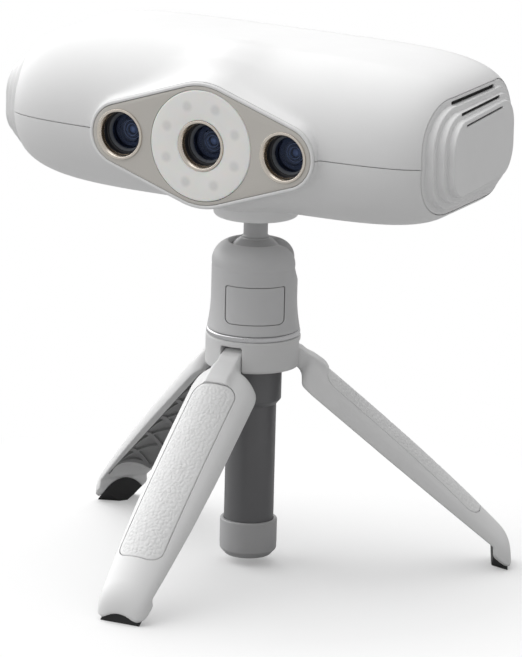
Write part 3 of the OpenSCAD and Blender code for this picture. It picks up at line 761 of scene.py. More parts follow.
def body_field(p):
    """Case and nose, blended more the further the nose runs back."""
    f = LENS_Y - p[..., 1]
    back = np.clip((NOSE_F - f) / 14, 0, 1)
    aside = np.clip(np.abs(p[..., 0]) / (SPACING + PLATE_TIP_R), 0, 1)
    k = 0.05 + FLARE_BLEND * back * (1 - 0.55 * aside)
    return blend_min(case_field(p), nose_field(p), k)


def cap_outline(step, grow=0.0):
    """Outline of a terrace in y and z, about the cap's middle."""
    return oval(0, CAP_HALF_Y - step * CAP_STEP_Y + grow, CAP_HALF_Z - step * CAP_STEP_Z + grow,
                CAP_CORNER_R - step * CAP_CORNER_STEP + grow)


def onto_side(side):
    """Maps y, z about the cap's middle, and distance from the case's middle, into the row."""
    return lambda y, z, depth: np.stack([side * depth + 0 * y, CASE_Y + y, CASE_Z + z], -1)


def facing_front(x, z, f):
    """Maps x and z about the lens axis, and a distance ahead, into the row."""
    return np.stack([x, LENS_Y - f + 0 * x, LENS_Z + z], -1)


def circle(cx, cy, radius, count=64):
    angles = np.linspace(0, 2 * math.pi, count, endpoint=False)
    return np.stack([cx + radius * np.cos(angles), cy + radius * np.sin(angles)], -1)


def on_floor(x, y, z):
    return np.stack([x, y, z + 0 * x], -1)


def facing_back(x, z, y):
    """Maps x and z about the rear socket, and y, into the row."""
    return np.stack([x, y + 0 * x, (SOCKET_LO[2] + SOCKET_HI[2]) / 2 + z], -1)


def build_case():
    """Upper and lower shell, cut from one hollow body along the parting line."""
    lo = (-FACE_X - 6, LENS_Y - NOSE_F - 4, CASE_Z - CASE_R - 3)
    hi = (FACE_X + 6, CASE_Y + CASE_FLAT + CASE_R + 3, CASE_Z + CASE_R + 3)
    whole = make_object("whole", *surface_net(body_field, lo, hi, CASE_STEP))
    hollow = make_object("hollow", *surface_net(lambda p: case_field(p, WALL), lo, hi, CAVITY_STEP))

    window, _ = diamond(PLATE_R + LIP - LIP_T, PLATE_TIP_R + LIP - LIP_T)
    for up, name, node in ((1, "upper_shell", "top_shell"), (-1, "lower_shell", "bottom_shell")):
        half = duplicate(whole)
        seam = LENS_Z + up * SEAM_GAP / 2
        keep = sorted((seam, LENS_Z + up * FAR))
        room = box_object((-FAR, LENS_Y - LIP_BACK_F, keep[0]), (FAR, FAR, keep[1]))
        steps = [("INTERSECT", room)]
        if up < 0:
            root = CASE_Z - CASE_R + 2
            foot = rounded([(0, BOSS_Z, 0), (BOSS_R, BOSS_Z, 1.1), (BOSS_R, root, 0), (0, root, 0)])
            steps.append(("UNION", make_object("boss", *revolve(foot, upright))))
        steps.append(("DIFFERENCE", duplicate(hollow)))
        steps.append(("DIFFERENCE", prism(window, facing_front, 8, NOSE_F + 6)))
        for side in (1, -1):
            cap_room = prism(cap_outline(0, CAP_GAP), onto_side(side), CAP_ROOT_X, CAP_CUT_X)
            steps.append(("DIFFERENCE", cap_room))
        if up < 0:
            cuts = [prism(circle(0, 0, half_span(INSERT_LO, INSERT_HI) - 1.8), on_floor,
                          BOSS_Z - 1, BOSS_Z + 12)]
            for x in (-SCREW_X, SCREW_X):
                for y in SCREW_YS:
                    cuts.append(prism(circle(x, LENS_Y + y, SCREW_RECESS_R), on_floor,
                                      CASE_Z - CASE_R - 3, LENS_Z + SCREW_RECESS_Z))
            socket = oval(0, half_span(SOCKET_LO, SOCKET_HI) + 0.1,
                          half_span(SOCKET_LO, SOCKET_HI, 2) + 0.1, 1.6)
            cuts.append(prism(socket, facing_back, 30, 60))
            steps += [("DIFFERENCE", cut) for cut in cuts]
        dress(carve(half, *steps), name, "scanner", SHELL, [node])
    for obj in (whole, hollow):
        bpy.data.objects.remove(obj)


def cap_face_x(y):
    """Where the end panel stands; y is measured from the case's middle."""
    return FACE_X * plan_share(CASE_Y + y, FACE_TAPER)


def build_cap(side, name, node):
    """End cap: its edge follows the case's end, and further terraces climb to a flat panel."""
    place = onto_side(side)
    rim = cap_outline(0)
    edge_x = dome_x(CASE_Y + rim[:, 0], CASE_Z + rim[:, 1])
    rings = [place(rim[:, 0], rim[:, 1], CAP_ROOT_X)]
    for step in range(CAP_TERRACES + 1):
        tread = cap_outline(step)
        rise = edge_x + (cap_face_x(tread[:, 0]) - edge_x) * step / CAP_TERRACES
        if step:
            for grow, lift in ((0.45, 0.0), (0.14, 0.06), (0.02, 0.3)):
                foot = cap_outline(step, grow)
                rings.append(place(foot[:, 0], foot[:, 1], below + lift))
        for k in range(7):
            a = math.pi / 2 * k / 6
            edge = cap_outline(step, -CAP_EDGE_R * (1 - math.cos(a)))
            rings.append(place(edge[:, 0], edge[:, 1], rise - CAP_EDGE_R * (1 - math.sin(a))))
        flat = cap_outline(step, -CAP_EDGE_R - 0.2)
        rings.append(place(flat[:, 0], flat[:, 1], rise))
        below = rise
    for inset in (1.5, 4.0):
        flat = cap_outline(CAP_TERRACES, -inset)
        rings.append(place(flat[:, 0], flat[:, 1], cap_face_x(flat[:, 0])))
    points, faces = loft(rings)
    cap = make_object(name, points, faces)
    slots = []
    shade_sheets = []
    for k, height in enumerate(SLOT_HEIGHTS):
        centre = (0, CAP_HALF_Z - (k + 0.5) * SLOT_PITCH)
        slot = oval(SLOT_Y - CASE_Y, SLOT_LEN / 2, height / 2, height * 0.35, arc=4) + centre
        slots.append(("DIFFERENCE", prism(slot, place, CAP_ROOT_X - 3, FACE_X + 9)))
        # A near-black sheet just under each slot's face: painted shade standing in for the dark
        # inside of the slot
        filling = oval(SLOT_Y - CASE_Y, SLOT_LEN / 2 - SLOT_SHADE_GAP, height / 2 - SLOT_SHADE_GAP,
                       height * 0.3, arc=4) + centre
        panel = cap_face_x(filling[:, 0])
        lip = dome_x(CASE_Y + filling[:, 0], CASE_Z + CAP_HALF_Z)
        front = lip + (panel - lip) * SLOT_TERRACES[k] / CAP_TERRACES - SLOT_DEPTH
        ends = [place(filling[:, 0], filling[:, 1], depth) for depth in (CAP_ROOT_X + 0.5, front)]
        shade_sheets.append(make_object("shade_sheets", *loft(ends)))
    dress(carve(cap, *slots), name, "scanner", SHELL, [node])
    for extra in shade_sheets[1:]:
        carve(shade_sheets[0], ("UNION", extra))
    dress(shade_sheets[0], name + "_gauze", "scanner", SLOT_SHADE)


def build_nose():
    """Lip round the plate, the plate itself, the ring light and the three lens stacks."""
    outline, away = diamond(PLATE_R, PLATE_TIP_R)
    seat = LIP_BACK_F + 0.12
    profile = rounded([(0.14, LIP_BACK_F - 3, 0), (0.14, NOSE_F, 0.25), (LIP + 0.04, NOSE_F, 0.5),
                       (LIP + 0.02, seat, 0.08), (LIP - LIP_T + 0.02, seat, 0),
                       (LIP - LIP_T - 0.1, LIP_BACK_F - 3, 0)])
    place = facing_front
    rings = []
    for offset, f in profile:
        path = outline + away * offset
        rings.append(place(path[:, 0], path[:, 1], f))
    lip = make_object("nose_lip", *loft(rings, wrap=True))
    dress(lip, "nose_lip", "scanner", SHELL)

    back = NOSE_F - 1.6
    edge = 0.12
    rings = []
    for inset, f in ((0.02, back), (0.02, NOSE_F - edge), (0.02 + edge * 0.3, NOSE_F - edge * 0.3),
                     (0.02 + edge, NOSE_F)):
        path = outline - away * inset
        rings.append(place(path[:, 0], path[:, 1], f - 0.12))
    plate = make_object("front_plate", *loft(rings))
    openings = [circle(0, 0, RING_R + 0.14, 160)]
    openings += [circle(x, 0, RIM_R + 0.05, 96) for x in (-SPACING, SPACING)]
    holes = [("DIFFERENCE", prism(opening, place, back - 2, NOSE_F + 2)) for opening in openings]
    dress(carve(plate, *holes), "front_plate", "scanner", NOSE_PAINT, ["nose_plate"])

    inner, back, front = RIM_R + 0.12, NOSE_F - 2.4, NOSE_F + 0.1
    ring = rounded([(inner, back, 0.1), (RING_R, back, 0.1), (RING_R, front, 0.45),
                    (inner, front, 0.2)])
    turned("light_ring", ring, ahead(), "scanner", OPAL, ["ring_diffuser"], 160)

    stacks = ((-SPACING, "left", "left_lens_rim", "left_camera_barrel", "left_lens"),
              (0.0, "centre", "centre_lens_rim", "projector_barrel", "projector_lens"),
              (SPACING, "right", "right_lens_rim", "right_camera_barrel", "right_lens"))
    for cx, side, rim_node, barrel_node, lens_node in stacks:
        build_lens(cx, side, rim_node, barrel_node, lens_node)


def build_lens(cx, side, rim_node, barrel_node, lens_node):
    """Champagne rim, black barrel, lens cell, coated front lens and the rings seen through it; the
    lighter rings and the pupil's light colour are painted highlights of the reflections inside the
    lens.
    """
    place = ahead(cx)
    bore = RIM_R - RIM_T
    # Known fault: the last corner is in line with its neighbours, so its arc comes out as NaN
    rim = rounded([(bore, RIM_BACK_F, 0.05), (RIM_R, RIM_BACK_F, 0.05), (RIM_R, RIM_FRONT_F, 0.12),
                   (RIM_R - 0.75, RIM_FRONT_F, 0.2), (bore, NOSE_F - 0.5, 0.2),
                   (bore, RIM_BACK_F + 0.55, 0.1)])
    turned(side + "_rim", rim, place, "scanner", CHROME, [rim_node])

    barrel = rounded([(4.2, BARREL_BACK_F, 0.15), (BARREL_R, BARREL_BACK_F, 0.15),
                      (BARREL_R, BARREL_FRONT_F, 0.1), (6.85, BARREL_FRONT_F, 0.1),
                      (6.72, 36.9, 0.08), (6.3, 36.6, 0.08), (6.3, 29.4, 0.1), (4.2, 29.4, 0.1)])
    turned(side + "_barrel", barrel, place, "scanner", BLACK, [barrel_node])

    cell = rounded([(5.5, CELL_BACK_F, 0.05), (CELL_R, CELL_BACK_F, 0.05), (CELL_R, 36.5, 0.12),
                    (5.9, 36.5, 0.12), (5.5, 35.8, 0.1)])
    turned(side + "_lens_cell", cell, place, "scanner", CELL)

    centre_f = GLASS_RIM_F - math.sqrt(GLASS_BALL_R**2 - GLASS_R**2)
    radii = [GLASS_R * math.sin(a) / math.sin(1.0) for a in np.linspace(1.0, 0, 20)]
    dome = [(r, centre_f + math.sqrt(GLASS_BALL_R**2 - r**2)) for r in radii]
    lens = np.array([(0, GLASS_BACK_F), (GLASS_R, GLASS_BACK_F)] + dome)
    turned(side + "_front_lens", lens, place, "scanner", GLASS, [lens_node])

    bowl = rounded([(0, 29.6, 0), (6.25, 29.6, 0.05), (6.25, 34.7, 0.05), (5.4, 34.7, 0.1),
                    (5.0, 33.9, 0.1), (3.9, 33.6, 0.1), (3.5, 32.7, 0.1), (2.5, 32.4, 0.1),
                    (2.3, 32.9, 0.12), (1.9, 32.9, 0.12), (1.7, 31.6, 0.1), (0, 31.6, 0)])
    turned(side + "_iris", bowl, place, "scanner", IRIS)

    # Thin lighter rings round the pupil: painted highlights of the lens's inner reflections
    for number, (inner, outer, f) in enumerate(LENS_HIGHLIGHT_RINGS):
        line = rounded([(inner, 32.3, 0), (outer, 32.3, 0), (outer, f, 0.05), (inner, f, 0.05)])
        turned(f"{side}_lens_ring_highlight_{number}", line, place, "scanner", LENS_RING_HIGHLIGHT,
               segments=64)

    pupil = [(PUPIL_R * math.sin(a), PUPIL_MIDDLE_F + PUPIL_BULGE * math.cos(a))
             for a in np.linspace(math.pi / 2, 0, 12)]
    pupil = np.array([(0, PUPIL_BACK_F), (PUPIL_R, PUPIL_BACK_F)] + pupil)
    # Pupil in its light blue-grey colour: a painted reflection of the bright spot at the lens's
    # centre
    turned(side + "_pupil", pupil, place, "scanner", PUPIL_GLASS_GLINT, segments=48)


def build_socket():
    """Connector block behind the case, with a rounded port and its tongue."""
    half_x = half_span(SOCKET_LO, SOCKET_HI)
    half_z = half_span(SOCKET_LO, SOCKET_HI, 2)
    place = facing_back
    front, back = SOCKET_LO[1], SOCKET_HI[1]
    rings = []
    for inset, y in ((0.3, front), (0, front + 0.3), (0, back - 0.3), (0.3, back)):
        path = oval(0, half_x - inset, half_z - inset, 1.5 - inset)
        rings.append(place(path[:, 0], path[:, 1], y))
    block = make_object("socket", *loft(rings))
    port = prism(oval(0, 4.5, 1.65, 1.6), place, back - 6, back + 1)
    dress(carve(block, ("DIFFERENCE", port)), "rear_port", "scanner", BLACK,
          ["rear_socket"])
    outer = oval(0, 4.46, 1.61, 1.56)
    inner = oval(0, 4.16, 1.31, 1.26)
    rings = [place(path[:, 0], path[:, 1], y) for path, y in
             ((outer, back - 5.8), (outer, back - 0.15), (inner, back - 0.15), (inner, back - 5.8))]
    shell = make_object("port_shell", *loft(rings, wrap=True))
    dress(shell, "port_shell", "scanner", STEEL)
    tongue = prism(oval(0, 3.3, 0.38, 0.2), place, back - 5.9, back - 1.0)
    dress(tongue, "port_tongue", "scanner", BLACK)


# ---- Tripod head ----
def along_azimuth(p, azimuth):
    """Distance out along an azimuth, and distance to either side of it."""
    a = math.radians(azimuth)
    out = p[..., 0] * math.cos(a) + p[..., 1] * math.sin(a)
    return out, np.abs(p[..., 1] * math.cos(a) - p[..., 0] * math.sin(a))


def head_outer(p):
    """The ball housing's outside: flared foot, straight wall, faint groove, rounded shoulder."""
    r = np.hypot(p[..., 0], p[..., 1])
    z = p[..., 2]
    t = np.clip((z - HEAD_LO[2]) / (FLARE_FOOT_TOP - HEAD_LO[2]), 0, 1)
    groove = 0.1 * np.exp(-((z - DOME_Z + 1.0) / 0.35)**2)
    wall = HEAD_R + FLARE_FOOT_W * (1 - t)**2 - groove
    shoulder = np.hypot(np.maximum(r - HEAD_R + DOME_R, 0), z - DOME_Z) - DOME_R
    side = np.where(z > DOME_Z, shoulder, r - wall)
    return blend_max(side, HEAD_LO[2] - z, 0.5)


def head_field(p):
    """The housing with its ball socket, flared mouth and tilt notch."""
    r = np.hypot(p[..., 0], p[..., 1])
    z = p[..., 2]
    bore_r = BALL_R + 0.2
    ball = np.hypot(r, z - BALL_Z) - bore_r
    well = np.maximum(r - bore_r, z - BALL_Z)
    mouth = np.maximum((r - MOUTH_R - (z - MOUTH_Z) * MOUTH_SLOPE) * 0.87, MOUTH_LOW_Z - z)
    space = np.minimum(np.minimum(ball, well), mouth)
    out, across = along_azimuth(p, NOTCH_AZ)
    half = NOTCH_W / 2
    notch = np.where(z > BALL_Z, across - half, np.hypot(across, z - BALL_Z) - half)
    notch = np.maximum(notch, 2 - out)
    return blend_max(blend_max(head_outer(p), -space, 0.6), -notch, 0.9)


def outward(azimuth):
    """Maps across, height and distance from the tripod's axis along an azimuth into the row."""
    a = math.radians(azimuth)

    def place(across, z, out):
        return np.stack([out * math.cos(a) - across * math.sin(a),
                         out * math.sin(a) + across * math.cos(a), z + 0 * out], -1)
    return place


def button_outline(gap):
    """Outline of the button: crisp upper corners, rounded lower ones."""
    half = BUTTON_W / 2 + gap
    low, top = BUTTON_LOW_Z - gap, BUTTON_TOP_Z + gap
    return rounded([(-half, low, 1.6 + gap), (half, low, 1.6 + gap), (half, top, 0.5 + gap),
                    (-half, top, 0.5 + gap)])


def build_head():
    """Housing with its pocket, the lock button, the ball with its neck, and the trim ring."""
    reach = HEAD_R + FLARE_FOOT_W + 1
    lo = (-reach, -reach, HEAD_LO[2] - 1)
    hi = (reach, reach, HEAD_HI[2] + 1)
    place = outward(BUTTON_AZ)
    housing = make_object("housing", *surface_net(head_field, lo, hi, HEAD_STEP))
    pocket = prism(button_outline(BUTTON_GAP), place, *BUTTON_CUT)
    core = prism(circle(0, 0, BUTTON_POCKET_R, 96), on_floor, *HEAD_CUT)
    carve(pocket, ("DIFFERENCE", core))
    spigot = prism(circle(0, 0, SPIGOT_R + FIT_GAP, 96), on_floor, HEAD_LO[2] - 2,
                   SPIGOT_TOP_Z)
    carve(housing, ("DIFFERENCE", pocket), ("DIFFERENCE", spigot))
    dress(housing, "head", "grip", GRIP, ["ball_housing"])

    button = make_object("button", *surface_net(head_outer, lo, hi, HEAD_STEP))
    hollow = prism(circle(0, 0, BUTTON_BACK_R, 96), on_floor, *HEAD_CUT)
    middle_z = (BUTTON_LOW_Z + BUTTON_TOP_Z) / 2
    plunger = prism(circle(0, middle_z, PLUNGER_R, 32), place, *PLUNGER_CUT)
    front = prism(button_outline(0), place, *BUTTON_CUT)
    carve(button, ("INTERSECT", front), ("DIFFERENCE", hollow), ("UNION", plunger))
    dress(button, "lock_pad", "lock_button", GRIP, ["lock_button"])

    ball_top = math.asin(SKIRT_R / BALL_R)
    arc = [(BALL_R * math.sin(a), BALL_Z + BALL_R * math.cos(a))
           for a in np.linspace(math.pi, ball_top, 40)]
    neck = rounded([(0, STEM_HI[2], 0), (2.6, STEM_HI[2], 0.1), (THREAD_R, STEM_HI[2] - 0.6, 0.1),
                    (THREAD_R, SEAT_Z, 0), (NECK_R, SEAT_Z, 0.25), (NECK_R, 107.0, 0.8),
                    (SKIRT_R, 106.3, 0.1)])
    stem = np.array(arc + neck[::-1].tolist())
    turned("ball_and_neck", stem, upright, "ball_stem", STEM, ["ball_stem"])

    inner, outer = SPIGOT_R + FIT_GAP, half_span(TRIM_LO, TRIM_HI)
    ring = rounded([(inner, TRIM_LO[2], 0.05), (outer, TRIM_LO[2], 0.35), (outer, TRIM_HI[2], 0.6),
                    (inner, TRIM_HI[2], 0.05)])
    turned("chrome_trim", ring, upright, "grip", TRIM_CHROME, ["trim_ring"], 160)


def hub_field(p):
    """The hub's drum, with a slot for each leg's tongue."""
    r = np.hypot(p[..., 0], p[..., 1])
    z = p[..., 2]
    drum = blend_max(r - half_span(HUB_LO, HUB_HI), HUB_LO[2] - z, 1.2)
    drum = blend_max(drum, z - TRIM_LO[2] + 0.05, 0.5)
    body = np.minimum(drum, np.maximum(r - SPIGOT_R, np.abs(z - 74) - 6.4))
    for azimuth in LEGS.values():
        out, across = along_azimuth(p, azimuth)
        slot = blend_max(across - TONGUE_W / 2 - 0.25, z - SLOT_ROOF_Z, 0.8)
        slot = np.maximum(slot, SLOT_BACK - out)
        body = blend_max(body, -slot, 0.5)
    return body


def build_hub_and_column():
    """Hub with its screw's well, then the column's collar, tube and end cap."""
    reach = half_span(HUB_LO, HUB_HI) + 1
    hub = make_object("hub", *surface_net(hub_field, (-reach, -reach, HUB_LO[2] - 1),
                                          (reach, reach, HUB_HI[2] + 1), HEAD_STEP))
    well = prism(circle(0, 0, HUB_WELL_R, 64), on_floor, 76.5, 90)
    bolt_hole = prism(circle(0, 0, BOLT_R, 32), on_floor, 60, 73.5)
    carve(hub, ("DIFFERENCE", well), ("DIFFERENCE", bolt_hole))
    dress(hub, "hub", "grip", HUB_PLASTIC, ["leg_hub"])

    tube_r = half_span(TUBE_LO, TUBE_HI)
    collar_r = half_span(COLLAR_LO, COLLAR_HI)
    base_r = half_span(BASE_LO, BASE_HI)
    collar = rounded([(tube_r + FIT_GAP, COLLAR_LO[2], 0.05), (tube_r + 0.2, COLLAR_LO[2], 0.1),
                      (collar_r, COLLAR_LO[2] + 1.6, 0.5), (collar_r, COLLAR_HI[2], 0.2),
                      (tube_r + FIT_GAP, COLLAR_HI[2], 0)])
    turned("collar", collar, upright, "grip", COLUMN, ["column_collar"])
    tube = rounded([(6.4, TUBE_LO[2], 0.2), (tube_r, TUBE_LO[2], 0.3), (tube_r, TUBE_HI[2], 0.1),
                    (2.05, TUBE_HI[2], 0), (2.05, TUBE_HI[2] - 4, 0), (6.4, TUBE_HI[2] - 4, 0.3)])
    turned("tube", tube, upright, "grip", COLUMN, ["column_tube"])
    low, top = BASE_LO[2], BASE_HI[2]
    base = rounded([(0, low, 0), (base_r - 1.9, low, 0.5), (base_r - 0.1, low + 2.0, 0.7),
                    (base_r, low + 4, 1.0), (base_r, top, 0.5), (tube_r + 0.06, top, 0.15),
                    (tube_r + 0.06, TUBE_LO[2], 0), (0, TUBE_LO[2], 0)])
    turned("base", base, upright, "grip", BASE, ["column_cap"])


# ---- Legs, drawn folded about the column with the pin at height 0 ----
def open_leg(x, z):
    """Distance from the tripod's axis and height of a leg's point when the leg is open."""
    c, s = math.cos(math.radians(OPEN_DEG)), math.sin(math.radians(OPEN_DEG))
    return PIN_R + (x - PIN_R) * c - z * s, PIN_Z + (x - PIN_R) * s + z * c


def leg_to_row(points, azimuth):
    """Swings a drawn leg open and turns it to its azimuth."""
    out, height = open_leg(points[:, 0], points[:, 2])
    a = math.radians(azimuth)
    return np.stack([out * math.cos(a) - points[:, 1] * math.sin(a),
                     out * math.sin(a) + points[:, 1] * math.cos(a), height], -1)


def to_segment(x, z, a, b):
    """Distance from points of a plane to the segment between a and b."""
    ax, az = a
    dx, dz = b[0] - ax, b[1] - az
    t = np.clip(((x - ax) * dx + (z - az) * dz) / (dx * dx + dz * dz), 0, 1)
    return np.hypot(x - ax - t * dx, z - az - t * dz)


def leg_radius(z):
    """Radius of a leg's outer face, which comes in towards the foot."""
    return LEG_R - LEG_TAPER * np.clip(-z / 90, 0, 1.2)**3


def leg_field(p):
    """Tapering curved shell with rounded shoulders and foot, a pocket and the hinge tongue."""
    x, y, z = p[..., 0], np.abs(p[..., 1]), p[..., 2]
    r = np.hypot(x, y)
    half_w = np.interp(z, list(LEG_HALF_WIDTHS), list(LEG_HALF_WIDTHS.values()))
    outline = np.hypot(np.maximum(y - half_w + SHOULDER_R, 0),
                       np.maximum(z + LEG_TOP + SHOULDER_R, 0)) - SHOULDER_R
    out, height = open_leg(x, z)
    shell = blend_max(r - leg_radius(z), outline, 2.2)
    shell = np.maximum(shell, (y - math.sqrt(3) * x + LEG_SIDE_GAP) / 2)
    shell = blend_max(shell, np.minimum(LEG_EDGE_X - x, TOE_REACH - out), 0.6)
    shell = blend_max(shell, SHOULDER_X - out, 0.6)
    shell = blend_max(shell, out - FOOT_REACH, 4.0)
    shell = blend_max(shell, SHELL_GAP - height, 0.8)
    knuckle = (LEG_R - TONGUE_R, -TONGUE_R)
    pin = (PIN_R, 0)
    bones = ((pin, knuckle), (knuckle, (LEG_R - TONGUE_R, TONGUE_LOW)),
             (pin, (PIN_R + 1.6, TONGUE_LOW)))
    tongue = np.minimum.reduce([to_segment(x, z, a, b) for a, b in bones]) - TONGUE_R
    tongue = blend_max(tongue, y - TONGUE_W / 2, 0.7)
    whole = blend_min(shell, tongue, 2.6)
    arch = np.clip((-z - TOE_TOP + 1) / 2, 0, 1)
    hollow_r = LEG_IN_R + arch * (TOE_ARCH_R - LEG_IN_R)
    hollow = np.maximum(np.hypot(x - arch * TOE_ARCH_X, y) - hollow_r, z + 3.5)
    whole = blend_max(whole, -hollow, 0.6)
    pocket_half = math.radians(POCKET_HALF_DEG)
    pocket = np.maximum(r - POCKET_R, y * math.cos(pocket_half) - x * math.sin(pocket_half))
    pocket = np.maximum(np.maximum(pocket, z + POCKET_TOP), -POCKET_LOW - z)
    return blend_max(whole, -pocket, 0.5)


def inlay_edge(y, z, grow):
    """Distance from the inlay's outline."""
    middle = -(INLAY_TOP + INLAY_LOW) / 2
    half_z = (INLAY_LOW - INLAY_TOP) / 2 + grow
    corner_r = INLAY_CORNER_R + grow
    qy = np.abs(y) - INLAY_HALF_W - grow + corner_r
    qz = np.abs(z - middle) - half_z + corner_r
    outside = np.hypot(np.maximum(qy, 0), np.maximum(qz, 0))
    return outside + np.minimum(np.maximum(qy, qz), 0) - corner_r


def pebbles(y, z, pitch=1.35):
    """Leather grain: 1 on a pebble's top, 0 in the creases, from jittered centres."""
    rng = np.random.default_rng(7)
    count_y, count_z = 24, 96
    jitter = rng.random((count_y, count_z, 2))
    gy = y / pitch + count_y / 2
    gz = z / pitch + count_z - 4
    iy, iz = np.floor(gy).astype(int), np.floor(gz).astype(int)
    nearest = np.full(y.shape, 9.0)
    second = np.full(y.shape, 9.0)
    for oy in (-1, 0, 1):
        for oz in (-1, 0, 1):
            cy = np.clip(iy + oy, 0, count_y - 1)
            cz = np.clip(iz + oz, 0, count_z - 1)
            spot = jitter[cy, cz]
            away = np.hypot(gy - cy - spot[..., 0], gz - cz - spot[..., 1])
            second = np.minimum(second, np.maximum(away, nearest))
            nearest = np.minimum(nearest, away)
    return np.clip((second - nearest) / 0.35, 0, 1)**0.7


def inlay_field(p):
    """Curved patch with a pebbled face that lies in the leg shell's recess."""
    r = np.hypot(p[..., 0], p[..., 1])
    edge = inlay_edge(p[..., 1], p[..., 2], 0)
    calm = np.clip(-edge / 1.2, 0, 1)
    face = leg_radius(p[..., 2]) + 0.02
    grain = 0.22 * calm * (pebbles(p[..., 1], p[..., 2]) - 0.6)
    return blend_max(np.maximum(r - face - grain, face - INLAY_T - r), edge, 0.25)


def recess_rings(azimuth):
    """Rings of the inlay's recess cutter: down its walls, then inwards across its curved floor."""
    middle = -(INLAY_TOP + INLAY_LOW) / 2
    floor = [(INLAY_GAP - inset, -INLAY_T) for inset in RECESS_INSETS]
    rings = []
    for grow, lift in [(INLAY_GAP, RECESS_LIFT)] + floor:
        flat = oval(0, INLAY_HALF_W + grow, (INLAY_LOW - INLAY_TOP) / 2 + grow,
                    max(INLAY_CORNER_R + grow, 0.1), arc=12, side=40)
        y, z = flat[:, 0], flat[:, 1] + middle
        radius = leg_radius(z) + lift
        rings.append(leg_to_row(np.stack([np.sqrt(radius**2 - y**2), y, z], -1), azimuth))
    return rings


def build_legs():
    """Leg shells and inlays: drawn once, then turned to the three azimuths."""
    reach_y = LEG_HALF_WIDTHS[-45] + 1.5
    points, faces = surface_net(leg_field, (0, -reach_y, -LEG_END),
                                (LEG_R + 1, reach_y, TONGUE_R + 1), LEG_STEP)
    patch, patch_faces = surface_net(inlay_field, (LEG_R - 8, -INLAY_HALF_W - 1, -INLAY_LOW - 1),
                                     (LEG_R + 1, INLAY_HALF_W + 1, -INLAY_TOP + 1), INLAY_STEP)
    for side, azimuth in LEGS.items():
        body = side + "_leg"
        shell = make_object("shell", leg_to_row(points, azimuth), faces)
        recess = make_object("cutter", *loft(recess_rings(azimuth)))
        pin_ends = []
        for y in (-20.0, 20.0):
            ring = circle(PIN_R, 0, PIN_BORE_R, 24)
            end = np.stack([ring[:, 0], y + 0 * ring[:, 0], ring[:, 1]], -1)
            pin_ends.append(leg_to_row(end, azimuth))
        bore = make_object("cutter", *loft(pin_ends))
        carve(shell, ("DIFFERENCE", recess), ("DIFFERENCE", bore))
        dress(shell, side + "_shell", body, LEG, [side + "_leg_shell"])
        inlay = make_object("inlay", leg_to_row(patch, azimuth), patch_faces)
        dress(inlay, side + "_inlay", body, LEATHER, [side + "_leg_inlay"],
              sharp_deg=60)


# ---- CAD pieces that keep their shape ----
def finish_cad_nodes():
    """Materials for the CAD nodes that stay in view."""
    looks = {"leds": LED, "tripod_insert": BRASS, "ball_seat": DARK}
    for node in ("led_board", "left_sensor_board", "projector_board", "right_sensor_board",
                 "main_board"):
        looks[node] = BOARD
    for node in ("optical_bracket", "heat_sink"):
        looks[node] = ALUMINIUM
    for node in ("bracket_screws", "board_screws", "case_screws", "seat_spring", "button_spring",
                 "hinge_pins", "hub_screw"):
        looks[node] = STEEL
    for side in LEGS:
        looks[side + "_leg_liner"] = LINER
        looks[side + "_foot_pad"] = RUBBER
    for node, material in looks.items():
        materials = frame["nodes"][node].data.materials
        materials.clear()
        materials.append(material)


# ---- Stage ----
CAMERA_AZIMUTH = 28.03
CAMERA_ELEVATION = 14.386
CAMERA_ROLL = 1.445
CAMERA_DISTANCE = 2148.75
CAMERA_TARGET = (27.02, -45.54, 90.0)
CAMERA_FOCAL = 381.2
KEY_DIRECTION = (-0.60, 0.10, 0.79)
KEY_EDGE = 0.4
KEY_LEVEL = 1.75
AMBIENT = 0.48
RIM_DIRECTION = (-0.95, 0.28, 0.12)
RIM_EDGE = 0.7
RIM_LEVEL = 1.1
FLOOR_BOUNCE = 0.42
FLOOR_HALF_MM = 4000
FADE_FROM_M = 0.09
FADE_TO_M = 0.16


def build_camera():
    """The photo's camera: its side, height, roll, distance and lens."""
    a, e, roll = (math.radians(v) for v in (CAMERA_AZIMUTH, CAMERA_ELEVATION, CAMERA_ROLL))
    back = Vector((math.sin(a) * math.cos(e), -math.cos(a) * math.cos(e), math.sin(e)))
    right = Vector((math.cos(a), math.sin(a), 0))
    up = back.cross(right)
    turned_right = right * math.cos(roll) + up * math.sin(roll)
    turned_up = up * math.cos(roll) - right * math.sin(roll)
    data = bpy.data.cameras.new("camera")
    data.lens = CAMERA_FOCAL
    data.sensor_width = 36
    data.clip_end = 20
    camera = bpy.data.objects.new("camera", data)
    bpy.context.scene.collection.objects.link(camera)
    place = Vector(CAMERA_TARGET) * MM + back * CAMERA_DISTANCE * MM
    axes = Matrix((turned_right, turned_up, back)).transposed().to_4x4()
    camera.matrix_world = Matrix.Translation(place) @ axes
    bpy.context.scene.camera = camera


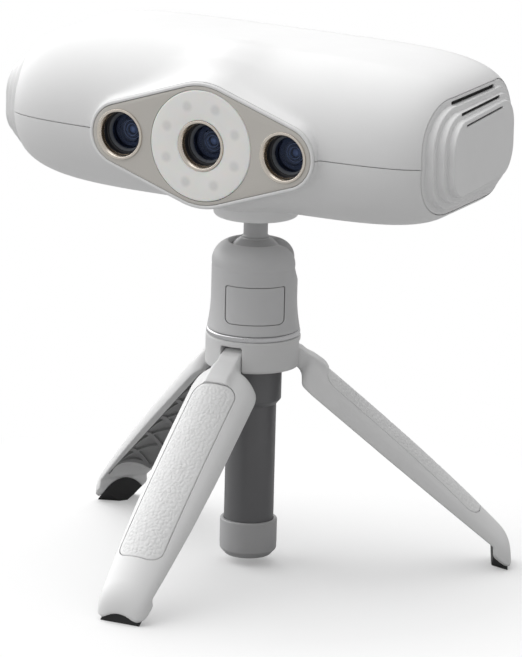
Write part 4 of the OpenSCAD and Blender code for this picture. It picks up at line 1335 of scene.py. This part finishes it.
def build_world():
    """White backdrop for the camera; for the object, a broad key light and a rim light."""
    world = bpy.data.worlds.new("studio")
    bpy.context.scene.world = world
    world.use_nodes = True
    tree = world.node_tree
    tree.nodes.clear()
    direction = add(tree, "TexCoord").outputs["Generated"]
    level = AMBIENT
    for aim, edge, gain in ((KEY_DIRECTION, KEY_EDGE, KEY_LEVEL),
                            (RIM_DIRECTION, RIM_EDGE, RIM_LEVEL)):
        lean = vector(tree, "DOT_PRODUCT", direction, i1=tuple(Vector(aim).normalized()))
        level = calc(tree, "ADD", level, stretched(tree, lean, edge, 1.0, 0, gain))
    grey = add(tree, "CombineXYZ", None, X=level, Y=level, Z=level).outputs[0]
    light = add(tree, "Background", None, Color=grey, Strength=1.0).outputs[0]
    backdrop = add(tree, "Background", None, Color=(1, 1, 1, 1), Strength=1.0).outputs[0]
    seen = add(tree, "LightPath").outputs["Is Camera Ray"]
    both = add(tree, "MixShader", None, i0=seen, i1=light, i2=backdrop).outputs[0]
    output = add(tree, "OutputWorld")
    tree.links.new(both, output.inputs[0])


def build_floor():
    """Pale floor that fades into the white backdrop."""
    material = bpy.data.materials.new("floor")
    material.use_nodes = True
    tree = material.node_tree
    tree.nodes.clear()
    place = add(tree, "TexCoord").outputs["Object"]
    seen = add(tree, "LightPath").outputs["Is Camera Ray"]
    radius = vector(tree, "LENGTH", place)
    fade = calc(tree, "MULTIPLY", stretched(tree, radius, FADE_FROM_M, FADE_TO_M, 0.25, 1), seen)
    paper = noise(tree, place, 60, 2)
    tint = mixed(tree, paper, (0.88, 0.88, 0.88, 1), (0.90, 0.90, 0.90, 1))
    tint = mixed(tree, seen, rgba((FLOOR_BOUNCE,) * 3), tint)
    matt = add(tree, "BsdfDiffuse", None, Color=tint).outputs[0]
    white = add(tree, "Emission", None, Color=(1, 1, 1, 1), Strength=1.0).outputs[0]
    both = add(tree, "MixShader", None, i0=fade, i1=matt, i2=white).outputs[0]
    output = add(tree, "OutputMaterial")
    tree.links.new(both, output.inputs[0])
    half = FLOOR_HALF_MM
    corners = [(-half, -half), (half, -half), (half, half), (-half, half)]
    floor = make_object("floor", *loft([[(x, y, z) for x, y in corners] for z in (-20, 0)]))
    floor.data.materials.append(material)


bpy.context.scene.view_settings.view_transform = "Standard"
build_case()
build_cap(1, "right_cap", "right_end_cap")
build_cap(-1, "left_cap", "left_end_cap")
build_nose()
build_socket()
build_head()
build_hub_and_column()
build_legs()
finish_cad_nodes()
build_camera()
build_world()
build_floor()
